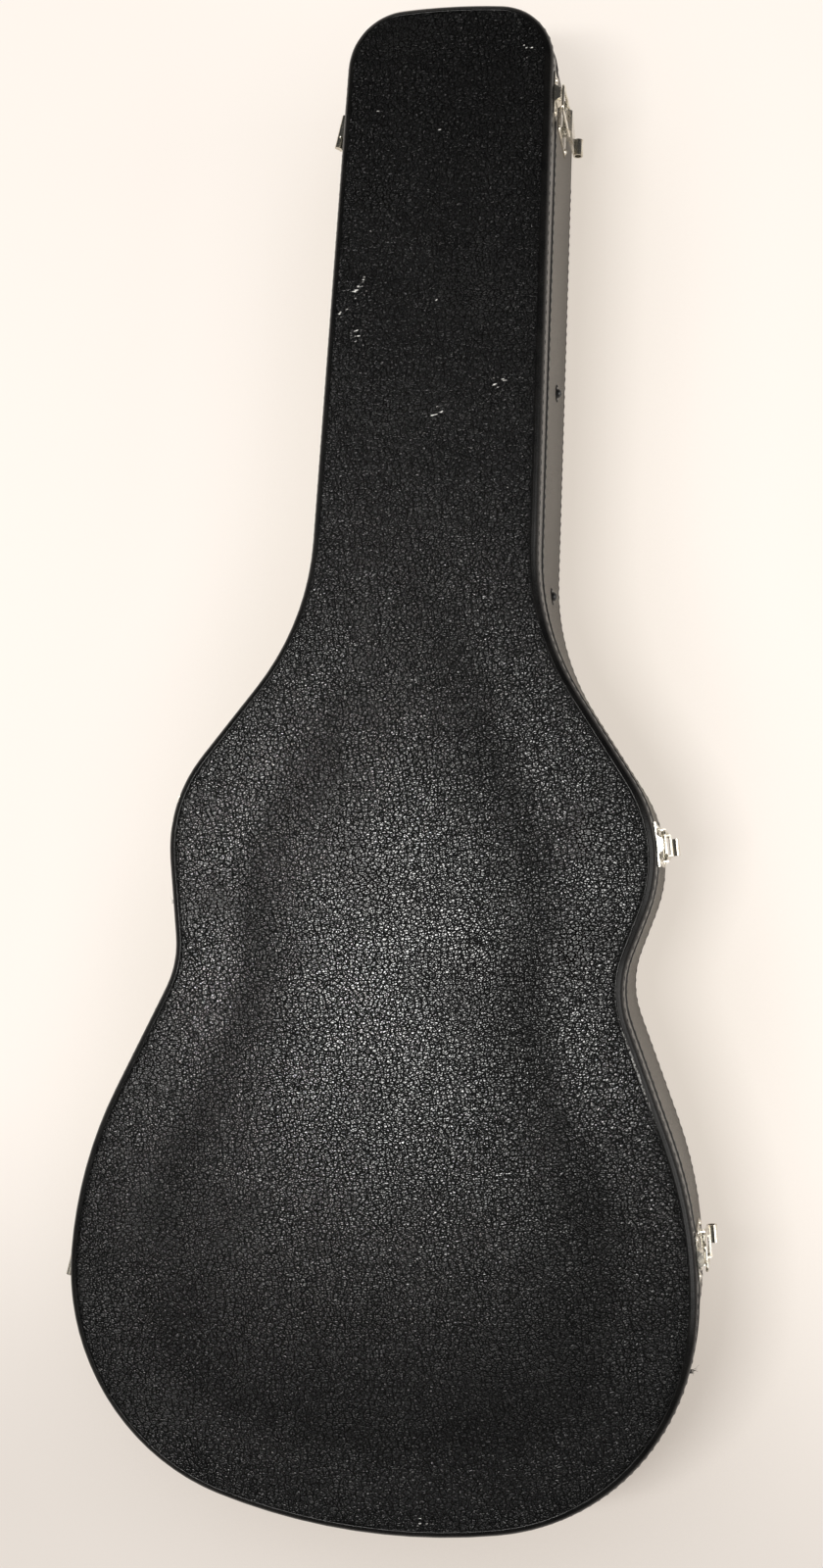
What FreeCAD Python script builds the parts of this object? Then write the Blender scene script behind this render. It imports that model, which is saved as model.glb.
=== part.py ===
"""Hard guitar case lying on its back: +X to the latch side, +Y to the headstock, +Z out of the lid.

The origin is on the back face, on the centreline, at half the case's length. Lengths are in millimetres.
"""
import FreeCAD, Part
import math
import os
import re

import Sketcher
from FreeCAD import Placement, Rotation, Vector

doc = FreeCAD.newDocument("guitar_case")
sheet = doc.addObject("Spreadsheet::Sheet", "Sizes")

# Driving dimensions: name, value, what it is.
DIMENSIONS = [
    ("case_length", 1050, "bottom end to headstock end"),
    ("base_height", 109, "back face to seam"),
    ("lid_height", 28, "seam to the flat of the lid"),
    ("lower_bout_half", 216, "half the widest width"),
    ("lower_bout_at", 161, "widest width, above the bottom end"),
    ("lower_bout_low_radius", 154, "side below the widest width"),
    ("lower_bout_high_radius", 290, "side above the widest width"),
    ("waist_half", 156, "half the waist"),
    ("waist_at", 374, "waist, above the bottom end"),
    ("waist_radius", 66, "hollow of the waist"),
    ("upper_bout_hinge_half", 166.5, "upper bout, hinge side"),
    ("upper_bout_latch_half", 173, "upper bout, latch side"),
    ("upper_bout_at", 453, "upper bout, above the bottom end"),
    ("upper_bout_radius", 100, "side of the upper bout"),
    ("neck_root_radius", 180, "hollow between upper bout and neck"),
    ("neck_root_at", 666, "where the neck's sides begin"),
    ("neck_root_hinge_half", 78, "neck root, hinge side"),
    ("neck_root_latch_half", 81, "neck root, latch side"),
    ("head_hinge_half", 77, "headstock end, hinge side"),
    ("head_latch_half", 70, "headstock end, latch side"),
    ("head_side_end", 40, "where the head widths are taken, below the end"),
    ("head_corner_radius", 41, "corners of the headstock end"),
    ("head_end_radius", 456, "crown of the headstock end"),
    ("base_wall", 5, "base side wall, plywood and vinyl"),
    ("lid_wall", 4, "lid side wall, plywood and vinyl"),
    ("panel_sheet", 4, "back panel and lid panel"),
    ("binding_width", 8, "edge bindings, across the face"),
    ("binding_depth", 8, "edge bindings, down the side"),
    ("binding_round", 6.5, "rounding of the edge bindings"),
    ("seam_strip_height", 4, "stitched strip at the top of the base"),
    ("bead_height", 3.5, "bead along the lid's lower edge"),
    ("bead_proud", 0.8, "bead outside the lid wall"),
    ("lip_sheet", 2.5, "locating lip inside the base"),
    ("lip_bottom", 95, "locating lip, above the back face"),
    ("lip_proud", 6, "locating lip above the seam"),
    ("padding_sheet", 8, "padding on the base walls"),
    ("floor_padding_sheet", 3, "padding on the back panel"),
    ("lid_padding_sheet", 2, "padding under the lid panel"),
    ("lid_side_padding_sheet", 4, "padding inside the lid wall"),
    ("dome_step_inset", 46, "foot of the lid's dome, from the case's outline"),
    ("dome_shoulder_inset", 64, "shoulder of the lid's dome"),
    ("dome_crown_inset", 86, "crown of the lid's dome"),
    ("dome_shoulder_height", 7, "shoulder above the flat of the lid"),
    ("dome_height", 9.5, "crown above the flat of the lid"),
    ("dome_nose_at", 640, "centre of the dome's rounded point, above the bottom end"),
    ("dome_nose_radius", 98, "rounded point of the dome, at no inset"),
    ("partition_sheet", 5, "walls of the accessory box"),
    ("partition_height", 57, "walls of the accessory box, above the padding"),
    ("partition_low_at", 646, "accessory box wall nearer the body"),
    ("partition_high_at", 796, "accessory box wall nearer the headstock"),
    ("box_lid_sheet", 4, "lid of the accessory box"),
    ("box_lid_length", 52, "lid of the accessory box, along the neck"),
    ("box_lid_gap", 1.5, "between the box's lid and the padding"),
    ("box_lid_joint", 0.5, "between the box's lid and its shelf"),
    ("box_tape_sheet", 0.8, "cloth hinge of the box's lid"),
    ("box_tape_width", 16, "cloth hinge, on the shelf"),
    ("tab_length", 20, "pull tab"),
    ("tab_width", 14, "pull tab"),
    ("tab_sheet", 1, "pull tab"),
    ("cradle_height", 30, "neck cradle, above its shelf"),
    ("cradle_length", 56, "neck cradle, along the neck"),
    ("cradle_notch_radius", 29, "notch that the neck lies in"),
    ("cradle_notch_depth", 24, "notch that the neck lies in"),
    ("hinge_low_at", 150, "hinge at the lower bout"),
    ("hinge_middle_at", 471, "hinge at the upper bout"),
    ("hinge_high_at", 972, "hinge at the headstock"),
    ("hinge_clearance", 1.2, "hinge line outside the outline"),
    ("hinge_width", 24, "hinge leaf along the seam"),
    ("hinge_leaf_height", 15, "hinge leaf down the wall"),
    ("hinge_leaf_gap", 1, "between the knuckle's edge and the leaf's plate"),
    ("hinge_rivet_spacing", 14, "rivets of a hinge leaf"),
    ("hinge_sheet", 1.2, "hinge leaf"),
    ("knuckle_radius", 2.6, "hinge knuckles"),
    ("knuckle_middle", 9, "lid's knuckle"),
    ("knuckle_gap", 0.3, "between knuckles, and round a leaf in the bead"),
    ("hinge_pin_radius", 1.3, "hinge pin"),
    ("pin_clearance", 0.05, "pin in its bore, on the radius"),
    ("latch_low_at", 201, "latch at the lower bout"),
    ("latch_middle_at", 469, "latch at the upper bout"),
    ("latch_high_at", 988, "latch at the headstock"),
    ("latch_sheet", 1, "latch base and catch plates"),
    ("latch_plate_width", 28, "latch base plate along the seam"),
    ("latch_plate_top", 10, "latch base plate, below the seam"),
    ("latch_plate_height", 44, "latch base plate"),
    ("ear_sheet", 1.2, "ears of the latch base plate"),
    ("ear_inside", 20.4, "between the ears"),
    ("ear_reach", 5.6, "ears, out from the wall"),
    ("ear_height", 10, "ears, along the plate"),
    ("pivot_out", 3.4, "lever pivot, out from the wall"),
    ("pivot_drop", 22, "lever pivot, below the seam"),
    ("pivot_radius", 1.25, "lever pivot pin"),
    ("lever_width", 15.2, "lever"),
    ("lever_tip_width", 12, "lever at its curl"),
    ("lever_sheet", 1.2, "lever"),
    ("lever_reach", 47, "pivot to curl"),
    ("curl_radius", 3.6, "outside of the lever's curl"),
    ("bail_drop", 9, "bail's pivot below the lever's pivot"),
    ("bail_out", 5.95, "bail, out from the wall"),
    ("bail_wire_radius", 1, "bail wire"),
    ("bail_half", 8.9, "centreline to bail arm"),
    ("bail_length", 42, "bail's pivot to its crossbar"),
    ("bail_bend", 3, "bend at the crossbar"),
    ("catch_width", 30, "catch plate along the seam"),
    ("catch_bottom", 4.5, "catch plate above the seam"),
    ("catch_height", 14, "catch plate"),
    ("catch_rib_foot", 12, "rib of the catch at the plate"),
    ("catch_rib_top", 7, "rib of the catch at its top"),
    ("catch_rib_out", 4.6, "rib of the catch, out from the wall"),
    ("rivet_head_radius", 2.4, "rivet heads"),
    ("rivet_head_height", 1.3, "rivet heads"),
    ("rivet_shank_radius", 1.2, "rivet shanks"),
    ("stud_head_radius", 3.6, "black rivets of the accessory box"),
    ("stud_head_height", 3, "black rivets of the accessory box"),
    ("stud_height_at", 57, "black rivets above the back face"),
    ("stud_shank_radius", 1.5, "black rivets of the accessory box"),
    ("stud_grip", 12, "black rivets, into the end of a box wall"),
    ("washer_radius", 6.2, "petalled washers under the black rivets"),
    ("washer_sheet", 0.8, "petalled washers"),
    ("petal_count", 8, "petals of a washer"),
    ("petal_notch_radius", 1.3, "notches between the petals"),
]
for row, (alias, value, meaning) in enumerate(DIMENSIONS, start=1):
    sheet.set("A%d" % row, alias)
    sheet.set("B%d" % row, str(value))
    sheet.set("C%d" % row, meaning)
    sheet.setAlias("B%d" % row, alias)
doc.recompute()

NODES = []
LATCH_SIDE = 1
HINGE_SIDE = -1
SIDE_NAMES = {LATCH_SIDE: "latch", HINGE_SIDE: "hinge"}
CLEAR_SHARE = 0.95  # of the radius at which a hollow of the outline would touch a bout


def size(expression):
    """Value of an expression whose names are aliases of the sheet."""
    return float(sheet.evalExpression(expression))


def bind(item, target, expression):
    """Bind a property or constraint to an expression whose names are aliases of the sheet."""
    item.setExpression(target, re.sub(r"\b([a-z]+_[a-z_]+)\b", r"Sizes.\1", expression))


def keep(item, label):
    """Give an object its node name and list it for export."""
    item.Label = label
    NODES.append(item)
    return item


def feature(label, shape):
    """Node whose shape is made by Part functions."""
    item = doc.addObject("Part::Feature", label)
    item.Shape = shape
    return keep(item, label)


# ---------------------------------------------------------------- outline of the case


def tangent_line(first, first_radius, first_turn, second, second_radius, second_turn):
    """Ends of the line tangent to two circles; a turn is +1 anticlockwise, -1 clockwise."""
    gap = second - first
    lean = math.asin((second_turn * second_radius - first_turn * first_radius) / gap.Length)
    heading = math.atan2(gap.y, gap.x) - lean
    normal = Vector(-math.sin(heading), math.cos(heading), 0)
    start = first - normal * (first_turn * first_radius)
    end = second - normal * (second_turn * second_radius)
    return start, end


def angle_of(point, centre):
    return math.atan2(point.y - centre.y, point.x - centre.x)


def arc_between(centre, radius, start, end, turn):
    """Arc segment (start, middle, end) round a centre, turning the stated way."""
    first = angle_of(start, centre)
    sweep = (angle_of(end, centre) - first) * turn % (2 * math.pi)
    middle = first + turn * sweep / 2
    return start, centre + Vector(math.cos(middle), math.sin(middle), 0) * radius, end


def hollow_radius(wanted, deepest, outward, bout, bout_radius):
    """Radius of a hollow in the outline, drawn in where it would run into the bout beside it."""
    apart = deepest - bout
    touching = (apart.dot(apart) - bout_radius ** 2) / (2 * (bout_radius - apart.dot(outward)))
    return min(wanted, CLEAR_SHARE * touching)


def body_arcs(side, inset):
    """Segments from the bottom end to the top of the upper bout, and that bout's circle.

    They are worked out for +X and measured from the bottom end.
    """
    name = SIDE_NAMES[side]
    lower_half, lower_at = size("lower_bout_half"), size("lower_bout_at")
    low_radius, high_radius = size("lower_bout_low_radius"), size("lower_bout_high_radius")
    low = Vector(lower_half - low_radius, lower_at, 0)
    high = Vector(lower_half - high_radius, lower_at, 0)
    bout_radius = size("upper_bout_radius")
    bout = Vector(size("upper_bout_%s_half" % name) - bout_radius, size("upper_bout_at"), 0)
    deepest, outward = Vector(size("waist_half"), size("waist_at"), 0), Vector(1, 0, 0)
    waist_radius = hollow_radius(size("waist_radius"), deepest, outward, bout, bout_radius)
    waist = deepest + outward * waist_radius
    end_radius = (low.x ** 2 + lower_at ** 2 - low_radius ** 2) / (2 * (lower_at - low_radius))
    end = Vector(0, end_radius, 0)
    to_low = (low - end).normalize()
    bottom = Vector(0, inset, 0)
    turn_in = end + to_low * (end_radius - inset)
    widest = Vector(lower_half - inset, lower_at, 0)
    leave_high, meet_waist = tangent_line(high, high_radius - inset, 1, waist, waist_radius + inset, -1)
    leave_waist, meet_bout = tangent_line(waist, waist_radius + inset, -1, bout, bout_radius - inset, 1)
    segments = [
        arc_between(end, end_radius - inset, bottom, turn_in, 1),
        arc_between(low, low_radius - inset, turn_in, widest, 1),
        arc_between(high, high_radius - inset, widest, leave_high, 1),
        (leave_high, None, meet_waist),
        arc_between(waist, waist_radius + inset, meet_waist, leave_waist, -1),
        (leave_waist, None, meet_bout),
    ]
    return segments, bout, bout_radius - inset, meet_bout


def neck_line(side):
    """Root point and heading of the neck's side, worked out for +X."""
    name = SIDE_NAMES[side]
    root = Vector(size("neck_root_%s_half" % name), size("neck_root_at"), 0)
    head = Vector(size("head_%s_half" % name), size("case_length-head_side_end"), 0)
    return root, (head - root).normalize()


def neck_root(side):
    """Centre and radius of the hollow between the upper bout and the neck, worked out for +X."""
    _, bout, bout_radius, _ = body_arcs(side, 0)
    root, along = neck_line(side)
    outward = Vector(along.y, -along.x, 0)
    radius = hollow_radius(size("neck_root_radius"), root, outward, bout, bout_radius)
    return root + outward * radius, radius


def side_segments(side, inset):
    """Segments of one side of the case, from the bottom end to the headstock end."""
    segments, bout, bout_radius, meet_bout = body_arcs(side, inset)
    root, along = neck_line(side)
    inward = Vector(-along.y, along.x, 0)
    root_centre, root_radius = neck_root(side)
    root_radius += inset
    corner_radius, end_radius = size("head_corner_radius"), size("head_end_radius")
    crown = Vector(0, size("case_length") - end_radius, 0)
    leave_bout, meet_root = tangent_line(bout, bout_radius, 1, root_centre, root_radius, -1)
    leave_root = root + inward * inset
    to_line = root + inward * corner_radius - crown
    reach = to_line.dot(along)
    spread = to_line.dot(to_line) - (end_radius - corner_radius) ** 2
    corner = crown + to_line + along * (math.sqrt(reach ** 2 - spread) - reach)
    meet_corner = corner - inward * (corner_radius - inset)
    leave_corner = corner + (corner - crown).normalize() * (corner_radius - inset)
    top = Vector(0, size("case_length") - inset, 0)
    return segments + [
        arc_between(bout, bout_radius, meet_bout, leave_bout, 1),
        (leave_bout, None, meet_root),
        arc_between(root_centre, root_radius, meet_root, leave_root, -1),
        (leave_root, None, meet_corner),
        arc_between(corner, corner_radius - inset, meet_corner, leave_corner, 1),
        arc_between(crown, end_radius - inset, leave_corner, top, 1),
    ]


def dome_segments(side, inset):
    """Segments of one side of the lid's dome, which ends in a rounded point on the neck."""
    segments, bout, bout_radius, meet_bout = body_arcs(side, inset)
    nose_radius = size("dome_nose_radius") - inset
    nose = Vector(0, size("dome_nose_at"), 0)
    leave_bout, meet_nose = tangent_line(bout, bout_radius, 1, nose, nose_radius, 1)
    tip = nose + Vector(0, nose_radius, 0)
    return segments + [
        arc_between(bout, bout_radius, meet_bout, leave_bout, 1),
        (leave_bout, None, meet_nose),
        arc_between(nose, nose_radius, meet_nose, tip, 1),
    ]


def in_frame(point, side, height=0.0):
    """Point of the case's frame, from one worked out for +X above the bottom end."""
    return Vector(point.x * side, point.y - size("case_length") / 2, height)


def closed_wire(segments_of, inset, height):
    """Closed wire of both sides' segments at a height."""
    edges = []
    for side, step in ((LATCH_SIDE, 1), (HINGE_SIDE, -1)):
        for start, middle, end in segments_of(side, inset)[::step]:
            start, end = in_frame(start, side, height), in_frame(end, side, height)
            if middle is None:
                edges.append(Part.makeLine(start, end))
            else:
                edges.append(Part.Arc(start, in_frame(middle, side, height), end).toShape())
    return Part.Wire(edges)


def slab(inset, low, high):
    """Solid of the case's outline, drawn in by an inset, between two heights."""
    face = Part.Face(closed_wire(side_segments, inset, low))
    return face.extrude(Vector(0, 0, high - low))


def ring(outer_inset, inner_inset, low, high):
    """Wall between two insets of the case's outline."""
    return slab(outer_inset, low, high).cut(slab(inner_inset, low, high))


def wall_point(side, above_end):
    """Point on the outline and the outward normal, at a distance above the bottom end."""
    for start, middle, end in side_segments(side, 0):
        if start.y <= above_end <= end.y:
            break
    if middle is None:
        along = (end - start).normalize()
        point = start + along * ((above_end - start.y) / along.y)
        normal = Vector(along.y, -along.x, 0)
    else:
        circle = Part.Arc(start, middle, end).toShape().Curve
        turn = 1 if (middle - start).cross(end - start).z > 0 else -1
        rise = above_end - circle.Center.y
        run = turn * math.sqrt(circle.Radius ** 2 - rise ** 2)
        point = circle.Center + Vector(run, rise, 0)
        normal = Vector(run, rise, 0).normalize() * turn
    normal.x *= side
    return in_frame(point, side), normal


def wall_place(side, above_end, height, outside=0.0):
    """Placement on the outer wall: local X along the wall, local Y outward, local Z up."""
    point, normal = wall_point(side, above_end)
    turn = math.degrees(math.atan2(normal.y, normal.x)) - 90
    return Placement(point + normal * outside + Vector(0, 0, height), Rotation(Vector(0, 0, 1), turn))


# ---------------------------------------------------------------- fasteners


def domed_rivet(head_radius, head_height, shank_radius, shank_length):
    """Rivet on local Y: domed head outside zero, shank inside it."""
    crown = Vector(0, head_height, 0)
    rim = Vector(head_radius, 0, 0)
    sphere = (head_radius ** 2 + head_height ** 2) / (2 * head_height)
    centre = Vector(0, head_height - sphere, 0)
    middle = centre + ((crown + rim) * 0.5 - centre).normalize() * sphere
    corners = [rim, Vector(shank_radius, 0, 0), Vector(shank_radius, -shank_length, 0),
               Vector(0, -shank_length, 0), crown]
    edges = [Part.Arc(crown, middle, rim).toShape()]
    edges += [Part.makeLine(start, end) for start, end in zip(corners, corners[1:])]
    return Part.Face(Part.Wire(edges)).revolve(Vector(0, 0, 0), Vector(0, 1, 0), 360)


def at(x, y, z):
    return Placement(Vector(x, y, z), Rotation())


def moved(shape, *places):
    """Copy of a shape moved by a chain of placements, the last one first."""
    chain = Placement()
    for place in places:
        chain = chain.multiply(place)
    return shape.transformed(chain.toMatrix())


# ---------------------------------------------------------------- sketched bodies


def new_body(label, place):
    body = doc.addObject("PartDesign::Body", label)
    body.Placement = place
    return keep(body, label)


def new_sketch(body, plane, shift=None):
    """Sketch on an origin plane of the body; shift is the expression of its offset along the normal."""
    sketch = body.newObject("Sketcher::SketchObject", body.Name + "_sketch")
    planes = {item.Role: item for item in body.Origin.OriginFeatures}
    sketch.AttachmentSupport = (planes[plane], [""])
    sketch.MapMode = "FlatFace"
    if shift:
        bind(sketch, "AttachmentOffset.Base.z", shift)
    return sketch


def pin_point(sketch, curve, end, x, y):
    """Hold a point of a sketch at a place given by two expressions."""
    for kind, expression in (("DistanceX", x), ("DistanceY", y)):
        number = sketch.addConstraint(Sketcher.Constraint(kind, curve, end, size(expression)))
        bind(sketch, "Constraints[%d]" % number, expression)


def draw_polygon(sketch, corners):
    """Closed polygon through corners given as pairs of expressions."""
    points = [Vector(size(x), size(y), 0) for x, y in corners]
    first = sketch.GeometryCount
    for start, end in zip(points, points[1:] + points[:1]):
        sketch.addGeometry(Part.LineSegment(start, end), False)
    for number, (x, y) in enumerate(corners):
        following = (number + 1) % len(corners)
        sketch.addConstraint(Sketcher.Constraint("Coincident", first + number, 2, first + following, 1))
        pin_point(sketch, first + number, 1, x, y)


def draw_rectangle(sketch, left, bottom, right, top):
    draw_polygon(sketch, [(left, bottom), (right, bottom), (right, top), (left, top)])


def draw_circle(sketch, x, y, radius):
    circle = Part.Circle(Vector(size(x), size(y), 0), Vector(0, 0, 1), size(radius))
    number = sketch.addGeometry(circle, False)
    pin_point(sketch, number, 3, x, y)
    constraint = sketch.addConstraint(Sketcher.Constraint("Radius", number, size(radius)))
    bind(sketch, "Constraints[%d]" % constraint, radius)


def extrude(body, sketch, length, kind="Pad", both_ways=False, backwards=False):
    """Pad or Pocket of a sketch; the length is an expression."""
    step = body.newObject("PartDesign::" + kind, body.Name + "_" + kind.lower())
    step.Profile = sketch
    bind(step, "Length", length)
    step.Midplane = both_ways
    step.Reversed = backwards
    before = body.Shape.Volume if kind == "Pocket" else 0
    doc.recompute()
    if kind == "Pocket" and before - body.Shape.Volume < 1e-3:
        raise ValueError("%s cuts nothing" % step.Name)
    return step


# ---------------------------------------------------------------- latches, on the +X wall


def catch_plate(label, place):
    """Plate on the lid with the rib that the bail closes over; local Z starts at the seam."""
    body = new_body(label, place)
    plate = new_sketch(body, "XZ_Plane")
    draw_rectangle(plate, "-catch_width/2", "catch_bottom", "catch_width/2", "catch_bottom+catch_height")
    for x in ("-(catch_width/2-rivet_head_radius-1)", "catch_width/2-rivet_head_radius-1"):
        draw_circle(plate, x, "catch_bottom+catch_height/2", "rivet_shank_radius")
    extrude(body, plate, "latch_sheet", backwards=True)
    rib = new_sketch(body, "XY_Plane", "catch_bottom+1")
    draw_polygon(rib, [("-catch_rib_foot/2", "latch_sheet/2"), ("catch_rib_foot/2", "latch_sheet/2"),
                       ("catch_rib_foot/2", "latch_sheet"), ("catch_rib_top/2", "catch_rib_out"),
                       ("-catch_rib_top/2", "catch_rib_out"), ("-catch_rib_foot/2", "latch_sheet")])
    extrude(body, rib, "catch_height-2")
    return body


def latch_plate_rivets():
    """Rivet places on a latch base plate, as pairs of expressions: along the wall, above the seam."""
    across = "(latch_plate_width/2-rivet_head_radius-0.6)"
    top = "-(latch_plate_top+rivet_head_radius+1)"
    bottom = "-(latch_plate_top+latch_plate_height-rivet_head_radius-1)"
    return [(sign + across, height) for height in (top, bottom) for sign in ("-", "")]


def latch_base(label, place):
    """Riveted plate with two ears that carry the lever's pivot."""
    body = new_body(label, place)
    plate = new_sketch(body, "XZ_Plane")
    draw_rectangle(plate, "-latch_plate_width/2", "-(latch_plate_top+latch_plate_height)",
                   "latch_plate_width/2", "-latch_plate_top")
    for x, z in latch_plate_rivets():
        draw_circle(plate, x, z, "rivet_shank_radius")
    extrude(body, plate, "latch_sheet", backwards=True)
    ears = new_sketch(body, "YZ_Plane")
    draw_polygon(ears, [("latch_sheet/2", "-(pivot_drop+ear_height/2+1)"),
                        ("ear_reach", "-(pivot_drop+ear_height/2-2)"),
                        ("ear_reach", "-(pivot_drop-ear_height/2+2)"),
                        ("latch_sheet/2", "-(pivot_drop-ear_height/2-1)")])
    extrude(body, ears, "ear_inside+2*ear_sheet", both_ways=True)
    between = new_sketch(body, "YZ_Plane")
    draw_rectangle(between, "latch_sheet", "-(pivot_drop+ear_height)", "ear_reach+1",
                   "-(pivot_drop-ear_height)")
    extrude(body, between, "ear_inside", "Pocket", both_ways=True)
    bore = new_sketch(body, "YZ_Plane")
    draw_circle(bore, "pivot_out", "-pivot_drop", "pivot_radius")
    extrude(body, bore, "ear_inside+4*ear_sheet", "Pocket", both_ways=True)
    return body


def latch_pin(label, place):
    """Pin held in the ears."""
    body = new_body(label, place)
    section = new_sketch(body, "YZ_Plane")
    draw_circle(section, "pivot_out", "-pivot_drop", "pivot_radius")
    extrude(body, section, "ear_inside+2*ear_sheet+1", both_ways=True)
    return body


def latch_lever(label, place):
    """Folded lever: a blade, two flanges round the pivot and the bail, and a rolled tip."""
    body = new_body(label, place)
    tip_z = "-(pivot_drop+lever_reach)"
    tip_inner = "pivot_out+1.6"
    blade_inner = "bail_out+1.45"
    side = new_sketch(body, "YZ_Plane")
    draw_polygon(side, [("pivot_out-2", "-pivot_drop"), ("pivot_out-2", "-(pivot_drop+5)"),
                        ("pivot_out+1.2", "-(pivot_drop+22)"), (tip_inner, tip_z),
                        (tip_inner + "+lever_sheet", tip_z),
                        (blade_inner + "+lever_sheet", "-(pivot_drop+3)"), ("pivot_out+2", "-pivot_drop")])
    extrude(body, side, "lever_width", both_ways=True)
    boss = new_sketch(body, "YZ_Plane")
    draw_circle(boss, "pivot_out", "-pivot_drop", "pivot_radius+0.8")
    extrude(body, boss, "lever_width", both_ways=True)
    channel = new_sketch(body, "YZ_Plane")
    draw_polygon(channel, [("0", "-(pivot_drop-5)"), ("0", tip_z + "+1"), (tip_inner, tip_z + "+1"),
                           (blade_inner, "-(pivot_drop+3)"), (blade_inner, "-(pivot_drop-5)")])
    extrude(body, channel, "lever_width-2*lever_sheet", "Pocket", both_ways=True)
    curl = new_sketch(body, "YZ_Plane")
    draw_circle(curl, tip_inner + "+curl_radius", tip_z, "curl_radius")
    extrude(body, curl, "lever_tip_width", both_ways=True)
    hollow = new_sketch(body, "YZ_Plane")
    draw_circle(hollow, tip_inner + "+curl_radius", tip_z, "curl_radius-lever_sheet")
    extrude(body, hollow, "2*lever_width", "Pocket", both_ways=True)
    bores = new_sketch(body, "YZ_Plane")
    draw_circle(bores, "pivot_out", "-pivot_drop", "pivot_radius+pin_clearance")
    draw_circle(bores, "bail_out", "-(pivot_drop+bail_drop)", "bail_wire_radius+pin_clearance")
    extrude(body, bores, "2*lever_width", "Pocket", both_ways=True)
    taper = new_sketch(body, "XZ_Plane")
    for sign in ("-", ""):
        draw_polygon(taper, [(sign + "lever_width", "-(pivot_drop+24)"),
                             (sign + "lever_width/2", "-(pivot_drop+24)"),
                             (sign + "lever_tip_width/2", tip_z),
                             (sign + "lever_tip_width/2", tip_z + "-2*curl_radius"),
                             (sign + "lever_width", tip_z + "-2*curl_radius")])
    extrude(body, taper, "pivot_out+4*curl_radius", "Pocket")
    return body


def latch_bail(label, place):
    """Wire loop hung on the lever, its crossbar over the catch's rib."""
    wire = size("bail_wire_radius")
    half, bend, tall = size("bail_half"), size("bail_bend"), size("bail_length")
    foot_bend = wire * 1.3
    inner = size("lever_width") / 2 - size("lever_sheet") - 0.6
    tilt = math.sqrt(0.5)
    path = []
    for side in (-1, 1):
        foot = [Vector(side * inner, 0, 0), Vector(side * (half - foot_bend), 0, 0)]
        foot_middle = Vector(side * (half - foot_bend + foot_bend * tilt), 0, foot_bend * (1 - tilt))
        knee = Vector(side * half, 0, foot_bend)
        shoulder = Vector(side * half, 0, tall - bend)
        top_middle = Vector(side * (half - bend + bend * tilt), 0, tall - bend + bend * tilt)
        top = Vector(side * (half - bend), 0, tall)
        edges = [Part.makeLine(*foot), Part.Arc(foot[1], foot_middle, knee).toShape(),
                 Part.makeLine(knee, shoulder), Part.Arc(shoulder, top_middle, top).toShape()]
        path.append((edges, top))
    (left, left_top), (right, right_top) = path
    spine = Part.Wire(left + [Part.makeLine(left_top, right_top)] + right[::-1])
    start = Vector(-inner, 0, 0)
    section = Part.Wire(Part.makeCircle(wire, start, Vector(1, 0, 0)))
    loop = spine.makePipeShell([section], True, False)
    hang = at(0, size("bail_out"), size("-(pivot_drop+bail_drop)"))
    bail = feature(label, loop)
    bail.Placement = place.multiply(hang)
    return bail


# ---------------------------------------------------------------- primitives and booleans


def box(length, width, height, place):
    """Part::Box whose sizes are expressions, or numbers worked out from the outline."""
    item = doc.addObject("Part::Box", "box")
    for name, amount in (("Length", length), ("Width", width), ("Height", height)):
        if isinstance(amount, str):
            bind(item, name, amount)
        else:
            setattr(item, name, amount)
    item.Placement = place
    return item


def cylinder(radius, length, place):
    """Part::Cylinder along local X, starting at the placement."""
    item = doc.addObject("Part::Cylinder", "cylinder")
    bind(item, "Radius", radius)
    bind(item, "Height", length)
    item.Placement = place.multiply(Placement(Vector(), Rotation(Vector(0, 1, 0), 90)))
    return item


def solid(shape):
    """Helper shape that other objects are cut or trimmed with."""
    item = doc.addObject("Part::Feature", "helper")
    item.Shape = shape
    return item


def fused(items):
    item = doc.addObject("Part::MultiFuse", "fused")
    item.Shapes = items
    item.Refine = True
    return item


def combined(kind, base, tool):
    """Part::Cut or Part::Common of two objects."""
    item = doc.addObject("Part::" + kind, kind.lower())
    item.Base = base
    item.Tool = tool
    return item


# ---------------------------------------------------------------- hinges, on the -X wall


def hinge_line():
    """Point and direction, towards the headstock, of the line that all three hinges turn on.

    It touches the lower bout and the headstock's corner, so that the lid swings clear of the base.
    """
    _, bout, bout_radius, _ = body_arcs(HINGE_SIDE, 0)
    high_radius = size("lower_bout_high_radius")
    high = Vector(size("lower_bout_half") - high_radius, size("lower_bout_at"), 0)
    corner = Part.Arc(*side_segments(HINGE_SIDE, 0)[-2]).toShape().Curve
    start, end = tangent_line(high, high_radius, 1, corner.Center, corner.Radius, 1)
    along = (end - start).normalize()
    outward = Vector(along.y, -along.x, 0)
    circles = [(high, high_radius), (bout, bout_radius), (corner.Center, corner.Radius)]
    furthest = max(centre.dot(outward) + radius for centre, radius in circles)
    point = outward * (furthest + size("hinge_clearance"))
    along.x *= HINGE_SIDE
    return in_frame(point, HINGE_SIDE, size("base_height")), along


def hinge_place(above_end):
    """Placement on the hinge line: local X along it, local Y outward, local Z up."""
    point, along = hinge_line()
    rise = above_end - size("case_length") / 2 - point.y
    turn = math.degrees(math.atan2(along.y, along.x))
    return Placement(point + along * (rise / along.y), Rotation(Vector(0, 0, 1), turn))


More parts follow.
